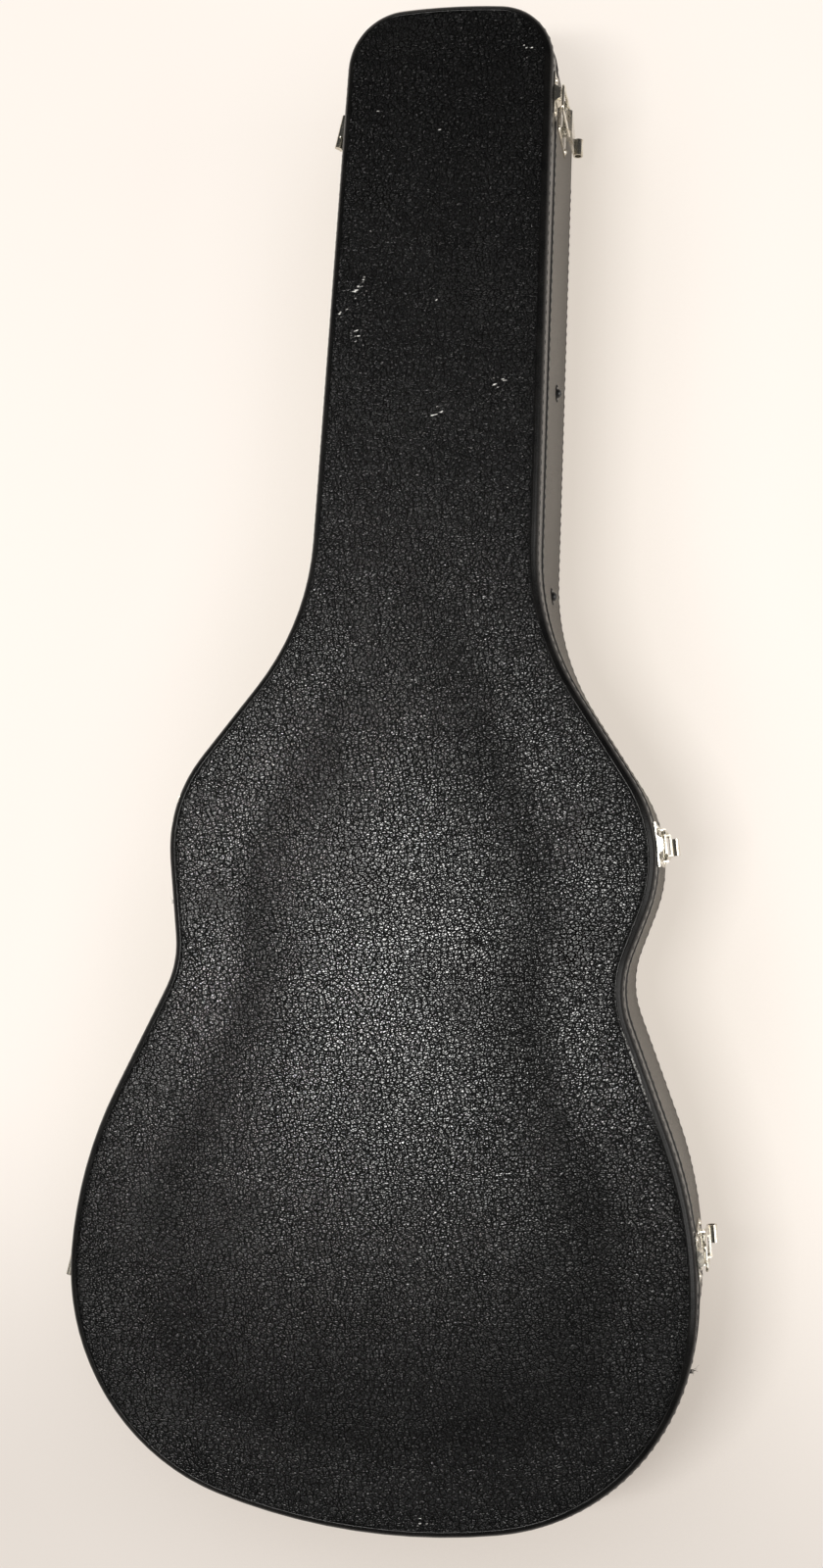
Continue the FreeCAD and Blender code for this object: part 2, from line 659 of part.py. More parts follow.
def hinge_leaf(label, above_end, on_lid, outline, rivets):
    """Plate riveted to the wall, with a web to its own knuckles."""
    axis = hinge_place(above_end)
    wall = wall_place(HINGE_SIDE, above_end, size("base_height"))
    clear = size("knuckle_radius+hinge_leaf_gap")
    leaf_height, leaf_half = size("hinge_leaf_height"), size("hinge_width") / 2
    own_half = size("knuckle_middle") / 2
    outer_start = own_half + size("knuckle_gap")
    spans = [(-own_half, "knuckle_middle")]
    web_low = size("knuckle_radius-hinge_sheet")
    plate_low = clear
    if not on_lid:
        outer_length = "hinge_width/2-knuckle_middle/2-knuckle_gap"
        spans = [(-leaf_half, outer_length), (outer_start, outer_length)]
        web_low = -size("knuckle_radius+hinge_leaf_gap+hinge_sheet/2")
        plate_low = -clear - leaf_height
    reach = (wall.Base - axis.Base).Length + leaf_half
    plate_place = wall.multiply(at(-leaf_half, 0, plate_low))
    pieces = [box("hinge_width", "hinge_sheet", "hinge_leaf_height", plate_place)]
    for start, length in spans:
        pieces.append(cylinder("knuckle_radius", length, axis.multiply(at(start, 0, 0))))
        web = box(length, reach, "hinge_leaf_gap+1.5*hinge_sheet", axis.multiply(at(start, -reach, web_low)))
        pieces.append(combined("Cut", web, outline))
    bore_place = axis.multiply(at(-2 * leaf_half, 0, 0))
    bore = cylinder("hinge_pin_radius+pin_clearance", "2*hinge_width", bore_place)
    return keep(combined("Cut", combined("Cut", fused(pieces), bore), rivets), label)


def hinge_rivet_places(above_end, on_lid):
    """Placements of a leaf's two rivets, heads outward."""
    sign = 1 if on_lid else -1
    height = sign * size("knuckle_radius+hinge_leaf_gap+hinge_leaf_height/2")
    spread = size("hinge_rivet_spacing") / 2
    wall = wall_place(HINGE_SIDE, above_end, size("base_height"))
    return [wall.multiply(at(along, size("hinge_sheet"), height)) for along in (-spread, spread)]


# ---------------------------------------------------------------- where everything goes

SEAM = size("base_height")
FLAT = size("base_height+lid_height")
LATCHES = {"high": size("latch_high_at"), "middle": size("latch_middle_at"), "low": size("latch_low_at")}
HINGES = {"high": size("hinge_high_at"), "middle": size("hinge_middle_at"), "low": size("hinge_low_at")}
LATCH_PLACES = {name: wall_place(LATCH_SIDE, place, SEAM) for name, place in LATCHES.items()}

head_radius, head_height = size("rivet_head_radius"), size("rivet_head_height")
shank_length = size("latch_sheet+lid_wall")
plate_rivet = domed_rivet(head_radius, head_height, size("rivet_shank_radius"), shank_length)
catch_spread = size("catch_width/2-rivet_head_radius-1")
catch_middle = size("catch_bottom+catch_height/2")

latch_base_rivets = []
latch_catch_rivets = []
for place in LATCH_PLACES.values():
    for along, height in latch_plate_rivets():
        head = at(size(along), size("latch_sheet"), size(height))
        latch_base_rivets.append(moved(plate_rivet, place, head))
    for along in (-catch_spread, catch_spread):
        latch_catch_rivets.append(moved(plate_rivet, place, at(along, size("latch_sheet"), catch_middle)))
hinge_base_rivets = []
hinge_lid_rivets = []
for above_end in HINGES.values():
    hinge_base_rivets += [moved(plate_rivet, place) for place in hinge_rivet_places(above_end, False)]
    hinge_lid_rivets += [moved(plate_rivet, place) for place in hinge_rivet_places(above_end, True)]

stud_length = size("washer_sheet+base_wall+padding_sheet+stud_grip")
stud_shank, washer_sheet = size("stud_shank_radius"), size("washer_sheet")
stud = domed_rivet(size("stud_head_radius"), size("stud_head_height"), stud_shank, stud_length)
outward = Vector(0, 1, 0)
washer = Part.makeCylinder(size("washer_radius"), washer_sheet, Vector(), outward)
washer = washer.cut(Part.makeCylinder(stud_shank, washer_sheet, Vector(), outward))
for number in range(int(size("petal_count"))):
    turn = 2 * math.pi * number / size("petal_count")
    rim = Vector(math.cos(turn), 0, math.sin(turn)) * size("washer_radius")
    washer = washer.cut(Part.makeCylinder(size("petal_notch_radius"), washer_sheet, rim, outward))
studs = []
washers = []
for above_end in (size("partition_low_at"), size("partition_high_at")):
    for side in (LATCH_SIDE, HINGE_SIDE):
        lift = size("washer_radius") ** 2 / (2 * neck_root(side)[1])
        wall = wall_place(side, above_end, size("stud_height_at"), lift)
        washers.append(moved(washer, wall))
        studs.append(moved(stud, wall, at(0, washer_sheet, 0)))

# ---------------------------------------------------------------- base of the case

binding, depth = size("binding_width"), size("binding_depth")
base_wall, lid_wall, panel_sheet = size("base_wall"), size("lid_wall"), size("panel_sheet")
padded_wall = base_wall + size("padding_sheet")
strip_low = SEAM - size("seam_strip_height")
floor_top = panel_sheet + size("floor_padding_sheet")


def on_outline(edge, outline):
    """Whether an edge lies on a level outline."""
    span = edge.BoundBox
    middle = edge.valueAt((edge.FirstParameter + edge.LastParameter) / 2)
    return span.ZLength < 1e-6 and Part.Vertex(middle).distToShape(outline)[0] < 1e-4


def edge_binding(wall, flat, inner, outer):
    """Rounded edge between a panel and a side wall; flat, inner and outer are its heights."""
    body = ring(0, binding, min(flat, inner), max(flat, inner))
    body = body.fuse(ring(0, wall, min(inner, outer), max(inner, outer))).removeSplitter()
    outline = closed_wire(side_segments, 0, flat)
    rim = [edge for edge in body.Edges if on_outline(edge, outline)]
    return body.makeFillet(size("binding_round"), rim)


def hinge_room(above_end):
    """Notch in the lid's bead that a hinge leaf passes through."""
    half = size("hinge_width") / 2 + size("knuckle_gap")
    width = size("2*lid_wall")
    block = Part.makeBox(2 * half, width, size("hinge_leaf_gap+knuckle_radius+bead_height"))
    return moved(block, wall_place(HINGE_SIDE, above_end, SEAM), at(-half, -width / 2, 0))


feature("base_back_panel", slab(binding, 0, panel_sheet))
feature("base_edge_binding", edge_binding(base_wall, 0, panel_sheet, depth))
wall_holes = [Part.makeCompound(group) for group in (latch_base_rivets, hinge_base_rivets, studs)]
feature("base_side_wall", ring(0, base_wall, depth, strip_low).cut(wall_holes))
feature("base_seam_strip", ring(0, base_wall, strip_low, SEAM))
lip_inset = base_wall + size("lip_sheet")
feature("base_locating_lip", ring(base_wall, lip_inset, size("lip_bottom"), SEAM + size("lip_proud")))
feature("base_floor_padding", slab(base_wall, panel_sheet, floor_top))
feature("base_side_padding", ring(base_wall, padded_wall, floor_top, size("lip_bottom")).cut(wall_holes[2]))

# ---------------------------------------------------------------- lid of the case

bead_top = SEAM + size("bead_height")
lid_rivet_holes = [Part.makeCompound(latch_catch_rivets), Part.makeCompound(hinge_lid_rivets)]
leaf_notches = [hinge_room(above_end) for above_end in HINGES.values()]
bead = ring(-size("bead_proud"), lid_wall, SEAM, bead_top).cut(leaf_notches)
feature("lid_bead", bead.fuse(ring(0, lid_wall, SEAM, bead_top)).removeSplitter())
feature("lid_side_wall", ring(0, lid_wall, bead_top, FLAT - depth).cut(lid_rivet_holes))
feature("lid_edge_binding", edge_binding(lid_wall, FLAT, FLAT - panel_sheet, FLAT - depth))


def dome(shrink, base, lower):
    """Stepped dome of the lid: foot, shoulder and crown, drawn in and lowered for its inside."""
    levels = [(size("dome_step_inset"), 0), (size("dome_shoulder_inset"), size("dome_shoulder_height")),
              (size("dome_crown_inset"), size("dome_height"))]
    wires = []
    for inset, rise in levels:
        wires.append(closed_wire(dome_segments, inset + shrink, base + max(rise - lower, 0)))
    lofts = [Part.makeLoft([low, high], True, True) for low, high in zip(wires, wires[1:])]
    return lofts[0].fuse(lofts[1]).removeSplitter()


lid_panel = slab(binding, FLAT - panel_sheet, FLAT).fuse(dome(0, FLAT, 0)).removeSplitter()
hollow_low = FLAT - panel_sheet
hollow = dome(panel_sheet, hollow_low, 0)
feature("lid_panel", lid_panel.cut(hollow))
padding_low = FLAT - panel_sheet - size("lid_padding_sheet")
feature("lid_padding", slab(binding, padding_low, FLAT - panel_sheet))
side_padding_low = SEAM + size("lip_proud") + 2
lid_padded = lid_wall + size("lid_side_padding_sheet")
feature("lid_side_padding", ring(lid_wall, lid_padded, side_padding_low, FLAT - depth))

# ---------------------------------------------------------------- accessory box and neck cradle

inside = solid(slab(padded_wall, 0, FLAT))
wide = 2 * size("lower_bout_half")
half_sheet = size("partition_sheet") / 2
stud_shapes = solid(Part.makeCompound(studs))
box_top = floor_top + size("partition_height")
shelf_top = box_top + size("box_lid_sheet")


def across(length, height, start, low):
    """Block the full inside width of the neck; start is above the bottom end."""
    place = at(-wide / 2, start - size("case_length") / 2, low)
    return combined("Common", box(wide, length, height, place), inside)


for name in ("low", "high"):
    start = size("partition_%s_at" % name) - half_sheet
    board = across("partition_sheet", "partition_height", start, floor_top)
    keep(combined("Cut", board, stud_shapes), "box_wall_" + name)

lid_start = size("partition_low_at") - half_sheet
hinge_at = lid_start + size("box_lid_length") + size("box_lid_joint")
shelf_end = size("partition_high_at") + half_sheet
keep(across(shelf_end - hinge_at, "box_lid_sheet", hinge_at, box_top), "box_shelf")
cradle_start = shelf_end - size("cradle_length")
notch_radius = size("cradle_notch_radius")
notch_height = shelf_top + size("cradle_height-cradle_notch_depth") + notch_radius
notch = Part.makeCylinder(notch_radius, wide, Vector(0, -wide / 2, notch_height), Vector(0, 1, 0))
notch.translate(Vector(0, cradle_start - size("case_length") / 2, 0))
cradle = across("cradle_length", "cradle_height", cradle_start, shelf_top)
keep(combined("Cut", cradle, solid(notch)), "neck_cradle")


def inner_half(side):
    """Half width inside the padding where the box's lid is hinged."""
    point, _ = wall_point(side, shelf_end)
    return abs(point.x) - padded_wall - size("box_lid_gap")


left, right = inner_half(HINGE_SIDE), inner_half(LATCH_SIDE)
frame_shift = size("case_length") / 2
lid_place = at(-left, lid_start - frame_shift, box_top)
keep(box(left + right, "box_lid_length", "box_lid_sheet", lid_place), "box_lid")
tape_place = at(-left, hinge_at - frame_shift, shelf_top)
keep(box(left + right, "box_tape_width", "box_tape_sheet", tape_place), "box_hinge_tape")
tab_place = at(-size("tab_width") / 2, lid_start - frame_shift - size("tab_length") / 3, shelf_top)
keep(box("tab_width", "tab_length", "tab_sheet", tab_place), "box_pull_tab")

# ---------------------------------------------------------------- hardware

outline_solid = solid(slab(0, SEAM - depth, SEAM + depth))
rivet_tools = {True: solid(lid_rivet_holes[1]), False: solid(wall_holes[1])}
for name, above_end in HINGES.items():
    hinge_leaf("hinge_%s_base_leaf" % name, above_end, False, outline_solid, rivet_tools[False])
    hinge_leaf("hinge_%s_lid_leaf" % name, above_end, True, outline_solid, rivet_tools[True])
    start = hinge_place(above_end).multiply(at(-size("hinge_width") / 2, 0, 0))
    keep(cylinder("hinge_pin_radius", "hinge_width", start), "hinge_%s_pin" % name)

for name, place in LATCH_PLACES.items():
    latch_base("latch_%s_base_plate" % name, place)
    latch_pin("latch_%s_pin" % name, place)
    latch_lever("latch_%s_lever" % name, place)
    latch_bail("latch_%s_bail" % name, place)
    catch_plate("latch_%s_catch" % name, place)

feature("latch_base_rivets", Part.makeCompound(latch_base_rivets))
feature("latch_catch_rivets", Part.makeCompound(latch_catch_rivets))
feature("hinge_base_rivets", Part.makeCompound(hinge_base_rivets))
feature("hinge_lid_rivets", Part.makeCompound(hinge_lid_rivets))
feature("box_rivets", Part.makeCompound(studs))
feature("box_rivet_washers", Part.makeCompound(washers))

# ---------------------------------------------------------------- check and write

doc.recompute()
failed = [item.Name for item in doc.Objects if {"Invalid", "Error"} & set(item.State)]
failed += [item.Label for item in NODES if item.Shape.isNull() or not item.Shape.isValid()]
if failed:
    raise ValueError("failed: " + ", ".join(failed))
os.makedirs("parts", exist_ok=True)
for item in NODES:
    item.Shape.exportStep(os.path.join("parts", item.Label + ".step"))
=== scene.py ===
"""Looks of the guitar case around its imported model: cloth, bindings, linings, hardware, light.

Row frame, in metres: the case lies on its back, +X to the latches, +Y to the headstock, +Z out of the lid.
"""
import math

import bmesh
import bpy
import numpy as np
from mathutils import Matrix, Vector


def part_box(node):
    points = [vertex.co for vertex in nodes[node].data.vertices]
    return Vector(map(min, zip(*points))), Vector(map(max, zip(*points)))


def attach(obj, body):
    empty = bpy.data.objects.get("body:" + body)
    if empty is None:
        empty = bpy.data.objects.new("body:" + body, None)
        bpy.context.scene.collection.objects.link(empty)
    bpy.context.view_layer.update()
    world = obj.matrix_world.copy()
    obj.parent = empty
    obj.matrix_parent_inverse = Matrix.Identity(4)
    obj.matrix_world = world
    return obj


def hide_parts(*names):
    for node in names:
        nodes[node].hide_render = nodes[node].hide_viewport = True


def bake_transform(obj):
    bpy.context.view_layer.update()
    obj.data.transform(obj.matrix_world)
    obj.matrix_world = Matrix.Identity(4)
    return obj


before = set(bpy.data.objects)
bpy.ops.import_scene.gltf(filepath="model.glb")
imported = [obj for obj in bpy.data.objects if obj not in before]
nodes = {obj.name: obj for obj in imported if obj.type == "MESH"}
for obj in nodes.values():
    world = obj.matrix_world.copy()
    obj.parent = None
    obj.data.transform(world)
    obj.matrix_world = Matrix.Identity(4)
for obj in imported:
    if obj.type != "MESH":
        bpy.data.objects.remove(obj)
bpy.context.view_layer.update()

MM = 0.001
SEED = 7


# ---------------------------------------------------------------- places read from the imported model

def low(node):
    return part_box(node)[0]


def high(node):
    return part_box(node)[1]


SEAM = low("lid_bead").z
BEAD_TOP = high("lid_bead").z
BASE_WALL_TOP = high("base_side_wall").z
BASE_WALL_LOW = low("base_side_wall").z
LID_WALL_TOP = high("lid_side_wall").z
LID_FLAT = high("lid_edge_binding").z
PANEL_SHEET = high("base_back_panel").z
BINDING = high("base_side_wall").x - high("base_back_panel").x
LINING_TOP = high("base_side_padding").z
FLOOR_TOP = high("base_floor_padding").z
BOX_TOP = high("box_shelf").z

# ---------------------------------------------------------------- outline of the case

HUB = np.array((0.0, -0.15))  # every point of the outline is in sight of it
STATION = 3.4 * MM


def ordered(points):
    """Points round the hub, anticlockwise."""
    away = points - HUB
    return points[np.argsort(np.arctan2(away[:, 1], away[:, 0]))]


def resampled(points, spacing):
    """Closed line through the points, at even steps."""
    closed = np.vstack([points, points[:1]])
    run = np.concatenate([[0], np.cumsum(np.linalg.norm(np.diff(closed, axis=0), axis=1))])
    count = int(round(run[-1] / spacing))
    at = np.linspace(0, run[-1], count, endpoint=False)
    return np.column_stack([np.interp(at, run, closed[:, k]) for k in (0, 1)])


def outward_normals(line):
    along = np.roll(line, -2, axis=0) - np.roll(line, 2, axis=0)
    along /= np.linalg.norm(along, axis=1)[:, None]
    return np.column_stack([along[:, 1], -along[:, 0]])


def panel_outline():
    """Outline of the back panel, which is the case's outline drawn in by the binding."""
    co = np.array([v.co for v in nodes["base_back_panel"].data.vertices])
    flat = co[co[:, 2] < PANEL_SHEET / 2][:, :2]
    return resampled(ordered(np.unique(flat.round(6), axis=0)), STATION)


panel_line = panel_outline()
OUTLINE = resampled(panel_line + outward_normals(panel_line) * BINDING, STATION)
NORMALS = outward_normals(OUTLINE)


def drawn_in(inset):
    """Outline drawn in by a distance, or by one distance for each station."""
    return OUTLINE - NORMALS * np.reshape(inset, (-1, 1))


def distance_to(line, points):
    """Distance from each point to a closed line."""
    nearest = np.full(len(points), np.inf)
    for start in range(0, len(line), 64):
        a = line[start:start + 64]
        b = np.roll(line, -1, axis=0)[start:start + 64]
        ab = b - a
        ap = points[:, None, :] - a[None, :, :]
        share = np.clip((ap * ab).sum(2) / (ab * ab).sum(1), 0, 1)
        gap = np.linalg.norm(ap - share[:, :, None] * ab, axis=2).min(1)
        nearest = np.minimum(nearest, gap)
    return nearest


def smooth_step(value, start, end):
    share = np.clip((value - start) / (end - start), 0, 1)
    return share * share * (3 - 2 * share)


# ---------------------------------------------------------------- meshes

def smooth_faces(mesh, smooth=True):
    mesh.polygons.foreach_set("use_smooth", [smooth] * len(mesh.polygons))


def placed(name, mesh):
    """Object for a mesh, linked to the scene."""
    thing = bpy.data.objects.new(name, mesh)
    bpy.context.scene.collection.objects.link(thing)
    return thing


def new_object(name, vertices, faces, body, material=None, smooth=True):
    mesh = bpy.data.meshes.new(name)
    mesh.from_pydata([tuple(v) for v in vertices], [], [tuple(f) for f in faces])
    mesh.validate()
    mesh.update()
    smooth_faces(mesh, smooth)
    thing = placed(name, mesh)
    if material:
        mesh.materials.append(material)
    if body:
        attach(thing, body)
    return thing


def sweep(name, profile, body, material):
    """Closed ring: a closed profile of (inset, height) points carried round the outline.

    A coordinate of the profile may be one number or one for each station.
    """
    count, ring = len(OUTLINE), len(profile)
    stations = np.empty((ring, count, 3))
    for row, (inset, height) in enumerate(profile):
        stations[row, :, :2] = drawn_in(np.broadcast_to(inset, count))
        stations[row, :, 2] = height
    faces = []
    for row in range(ring):
        following = (row + 1) % ring
        for station in range(count):
            after = (station + 1) % count
            faces.append((row * count + station, following * count + station,
                          following * count + after, row * count + after))
    return new_object(name, stations.reshape(-1, 3), faces, body, material)


ROWS = 300
COLUMNS = 110
CROWDED_ENDS = 0.35     # share of the rows' spacing that closes up towards the two ends
CROWDED_SIDES = 0.06    # how much the columns close up towards the outline
HAIR = 1e-5             # the first and last row stay this share inside the ends


def row_grid(line):
    """Grid over the inside of an outline: rows across it, closer together near its two ends."""
    bottom, top = line[:, 1].min(), line[:, 1].max()
    lean = np.linspace(0, math.pi, ROWS)
    even = np.linspace(0, 1, ROWS)
    share = CROWDED_ENDS * (1 - np.cos(lean)) / 2 + (1 - CROWDED_ENDS) * even
    share[0], share[-1] = HAIR, 1 - HAIR
    heights = bottom + (top - bottom) * share
    following = np.roll(line, -1, axis=0)
    grid = np.empty((ROWS, COLUMNS, 2))
    across = np.linspace(-1, 1, COLUMNS)
    across = across * (1 + CROWDED_SIDES * (1 - across ** 2))
    for row, y in enumerate(heights):
        crosses = (line[:, 1] - y) * (following[:, 1] - y) <= 0
        a, b = line[crosses], following[crosses]
        rise = np.where(abs(b[:, 1] - a[:, 1]) < 1e-9, 1e-9, b[:, 1] - a[:, 1])
        x = a[:, 0] + (b[:, 0] - a[:, 0]) * np.clip((y - a[:, 1]) / rise, 0, 1)
        left, right = x.min(), x.max()
        grid[row, :, 0] = (left + right) / 2 + (right - left) / 2 * across
        grid[row, :, 1] = y
    return grid


def sheet_between(name, line, upper, lower, body, material):
    """Closed sheet over the inside of an outline; upper and lower give heights for points."""
    grid = row_grid(line).reshape(-1, 2)
    depth = distance_to(line, grid)
    top = np.column_stack([grid, upper(grid, depth)])
    under = np.column_stack([grid, lower(grid, depth)])
    count = len(grid)
    faces = []
    for row in range(ROWS - 1):
        for column in range(COLUMNS - 1):
            a = row * COLUMNS + column
            quad = (a, a + 1, a + COLUMNS + 1, a + COLUMNS)
            faces.append(quad)
            faces.append(tuple(v + count for v in quad[::-1]))
    rim = list(range(COLUMNS))
    rim += [row * COLUMNS + COLUMNS - 1 for row in range(1, ROWS)]
    rim += [(ROWS - 1) * COLUMNS + column for column in range(COLUMNS - 2, -1, -1)]
    rim += [row * COLUMNS for row in range(ROWS - 2, 0, -1)]
    for a, b in zip(rim, rim[1:] + rim[:1]):
        faces.append((b, a, a + count, b + count))
    return new_object(name, np.vstack([top, under]), faces, body, material)


# ---------------------------------------------------------------- materials

class Nodes:
    """Short names for building a material's nodes."""

    def __init__(self, name):
        self.material = bpy.data.materials.new(name)
        self.material.use_nodes = True
        self.tree = self.material.node_tree
        self.shader = self.tree.nodes["Principled BSDF"]
        self.place = self.add("ShaderNodeTexCoord").outputs["Object"]

    def add(self, kind, **settings):
        node = self.tree.nodes.new(kind)
        for key, value in settings.items():
            setattr(node, key, value)
        return node

    def link(self, source, target):
        if isinstance(source, (int, float, tuple)):
            target.default_value = source
        else:
            self.tree.links.new(source, target)

    def math(self, operation, a, b=0.0):
        node = self.add("ShaderNodeMath", operation=operation)
        self.link(a, node.inputs[0])
        self.link(b, node.inputs[1])
        return node.outputs[0]

    def scaled(self, factors, source=None):
        node = self.add("ShaderNodeMapping")
        self.link(source or self.place, node.inputs["Vector"])
        node.inputs["Scale"].default_value = factors
        return node.outputs[0]

    def turned(self, angle, source=None):
        """Place turned about Z."""
        node = self.add("ShaderNodeMapping")
        self.link(source or self.place, node.inputs["Vector"])
        node.inputs["Rotation"].default_value = (0.0, 0.0, angle)
        return node.outputs[0]

    def noise(self, place, scale, detail=3.0, rough=0.5, colour=False):
        node = self.add("ShaderNodeTexNoise")
        self.link(place, node.inputs["Vector"])
        node.inputs["Scale"].default_value = scale
        node.inputs["Detail"].default_value = detail
        node.inputs["Roughness"].default_value = rough
        return node.outputs["Color" if colour else "Fac"]

    def cell_edges(self, place, scale):
        """Voronoi cells whose Distance is the one to the edge of the cell."""
        node = self.add("ShaderNodeTexVoronoi", feature="DISTANCE_TO_EDGE")
        self.link(place, node.inputs["Vector"])
        node.inputs["Scale"].default_value = scale
        return node

    def flat_cells(self, place, scale, randomness):
        """Distance to the edge of cells drawn on the XY plane."""
        node = self.cell_edges(place, scale)
        node.voronoi_dimensions = "2D"
        node.inputs["Randomness"].default_value = randomness
        return node.outputs["Distance"]

    def ramp(self, source, start, end, low=0.0, high=1.0):
        node = self.add("ShaderNodeMapRange", interpolation_type="SMOOTHSTEP")
        self.link(source, node.inputs["Value"])
        for key, value in (("From Min", start), ("From Max", end), ("To Min", low), ("To Max", high)):
            node.inputs[key].default_value = value
        return node.outputs["Result"]

    def mix(self, share, a, b):
        node = self.add("ShaderNodeMix", data_type="RGBA")
        self.link(share, node.inputs["Factor"])
        self.link(a, node.inputs["A"])
        self.link(b, node.inputs["B"])
        return node.outputs["Result"]

    def warped(self, place, scale, amount):
        """Place pushed about by noise of that scale, by up to that amount."""
        push = self.noise(place, scale, detail=1.0, colour=True)
        centred = self.add("ShaderNodeVectorMath", operation="SUBTRACT")
        self.link(push, centred.inputs[0])
        centred.inputs[1].default_value = (0.5, 0.5, 0.5)
        bigger = self.add("ShaderNodeVectorMath", operation="SCALE")
        self.link(centred.outputs[0], bigger.inputs[0])
        bigger.inputs["Scale"].default_value = amount
        total = self.add("ShaderNodeVectorMath", operation="ADD")
        self.link(place, total.inputs[0])
        self.link(bigger.outputs[0], total.inputs[1])
        return total.outputs[0]

    def bump(self, height, depth):
        node = self.add("ShaderNodeBump")
        self.link(height, node.inputs["Height"])
        node.inputs["Distance"].default_value = depth
        node.inputs["Strength"].default_value = 1.0
        self.link(node.outputs[0], self.shader.inputs["Normal"])

    def finish(self, colour, roughness, metallic=0.0, **inputs):
        self.link(colour, self.shader.inputs["Base Color"])
        self.link(roughness, self.shader.inputs["Roughness"])
        self.shader.inputs["Metallic"].default_value = metallic
        for key, value in inputs.items():
            self.shader.inputs[key.replace("_", " ")].default_value = value
        return self.material


def grey(value, tint=(1, 1, 1)):
    """Colour of that lightness, tinted."""
    return (value * tint[0], value * tint[1], value * tint[2], 1.0)


SLANT = math.radians(-12)       # the grain's folds and the scuffs climb a little towards the latches
PEBBLE = 1.70 * MM
FOLD_PITCH = 2.1 * PEBBLE
GRAIN_DEPTH = 0.28 * MM
# painted shade: colour of the creases, darker than the pebbles' because shade falls in them
SHADED_CREASE_TONE = 0.0010
PEBBLE_TONE = 0.0035
GRAIN_STRETCH = (0.80, 1.22, 1.0)
WRINKLE_STRETCH = (0.5, 1.25, 1.0)
FLECK_STRETCH = (0.30, 1.0, 1.0)
WHITED = (0.80, (1.0, 0.98, 0.94))  # bare backing that shows where the cloth is scuffed


def leathercloth():
    """Black embossed leathercloth: glossy pebbles between dull creases, deepest along larger folds; the
    creases' darker colour is painted shade.
    """
    n = Nodes("leathercloth")
    slanted = n.turned(SLANT, n.warped(n.place, 14.0, 12 * MM))
    run = n.warped(n.scaled(GRAIN_STRETCH, slanted), 400.0, 1.1 * MM)
    uneven = n.noise(n.place, 420.0, detail=1.0)
    edge = n.math("ADD", n.flat_cells(run, 1 / PEBBLE, 0.95), n.ramp(uneven, 0.3, 0.7, -0.05, 0.07))
    fold = n.ramp(n.flat_cells(run, 1 / FOLD_PITCH, 1.0), 0.02, 0.17)
    crease = n.math("MULTIPLY", n.ramp(edge, 0.03, 0.22), n.math("ADD", 0.12, n.math("MULTIPLY", fold, 0.88)))
    crown = n.ramp(edge, 0.0, 0.50)
    wrinkles = n.noise(n.scaled(WRINKLE_STRETCH, slanted), 420.0, detail=1.0)
    swell = n.noise(n.place, 120.0, detail=2.0)
    height = n.math("ADD", n.math("MULTIPLY", crease, 0.34), n.math("MULTIPLY", crown, 0.14))
    height = n.math("ADD", height, n.math("MULTIPLY", wrinkles, 0.80))
    height = n.math("ADD", height, n.math("MULTIPLY", swell, 0.12))
    n.bump(height, GRAIN_DEPTH)
    # Painted shade: the creases take a darker colour than the pebbles, standing in for the shade that falls
    # in them.
    tone = n.mix(crease, grey(SHADED_CREASE_TONE), grey(PEBBLE_TONE, (1.0, 0.98, 1.0)))
    rough = n.ramp(n.noise(n.place, 14.0, detail=4.0), 0.3, 0.7, 0.23, 0.28)
    rough = n.math("ADD", rough, n.ramp(crease, 0.0, 1.0, 0.30, 0.0))
    fleck = scuff_flecks(n)
    tone = n.mix(fleck, tone, grey(*WHITED))
    rough = n.math("ADD", rough, n.math("MULTIPLY", fleck, 0.3))
    # Painted shade as well: the creases reflect far less than the pebbles' crowns.
    n.link(n.ramp(crease, 0.10, 0.90, 0.04, 0.56), n.shader.inputs["Specular IOR Level"])
    return n.finish(tone, rough)


def scuff_flecks(n):
    """Short flecks, longer across the case than along it, where the wear painted on the mesh allows them."""
    wear = n.add("ShaderNodeAttribute", attribute_name="wear").outputs["Fac"]
    speck = n.noise(n.scaled(FLECK_STRETCH, n.turned(SLANT)), 720.0, detail=1.5)
    fleck = n.ramp(n.math("ADD", speck, n.math("MULTIPLY", wear, 0.20)), 0.825, 0.840)
    return n.math("MULTIPLY", fleck, n.ramp(wear, 0.05, 0.30))


def wall_cloth():
    """Finer cloth of the base's walls: partly its own dark tone, partly lightened to grey-brown as a painted
    reflection of the pale floor seen at grazing angles, with painted shade between its pebbles.
    """
    n = Nodes("wall_cloth")
    run = n.warped(n.place, 150.0, 1.0 * MM)
    edge = n.cell_edges(run, 1 / (1.5 * MM)).outputs["Distance"]
    pebbles = n.ramp(edge, 0.0, 0.30)
    fine = n.noise(n.place, 1100.0, detail=2.0)
    height = n.math("ADD", n.math("MULTIPLY", pebbles, 0.6), n.math("MULTIPLY", fine, 0.5))
    n.bump(height, 0.22 * MM)
    patchiness = n.noise(n.place, 30.0, detail=5.0)
    # Painted reflection: patchy grey-brown, lighter than the cloth's own near-black, standing in for the pale
    # floor mirrored along the wall.
    painted_reflection_grey = n.mix(n.ramp(patchiness, 0.35, 0.70), grey(0.075, (1.06, 1.0, 0.93)), grey(0.125, (1.07, 1.0, 0.91)))
    # Painted shade: dark between the pebbles, where shade falls, mixed with random dark speckle.
    tone = n.mix(n.math("MULTIPLY", pebbles, n.ramp(fine, 0.30, 0.60)), grey(0.035), painted_reflection_grey)
    return n.finish(tone, n.ramp(fine, 0.3, 0.7, 0.42, 0.62), Sheen_Weight=0.9, Sheen_Roughness=0.4,
                    Sheen_Tint=(1.0, 0.90, 0.80, 1.0))


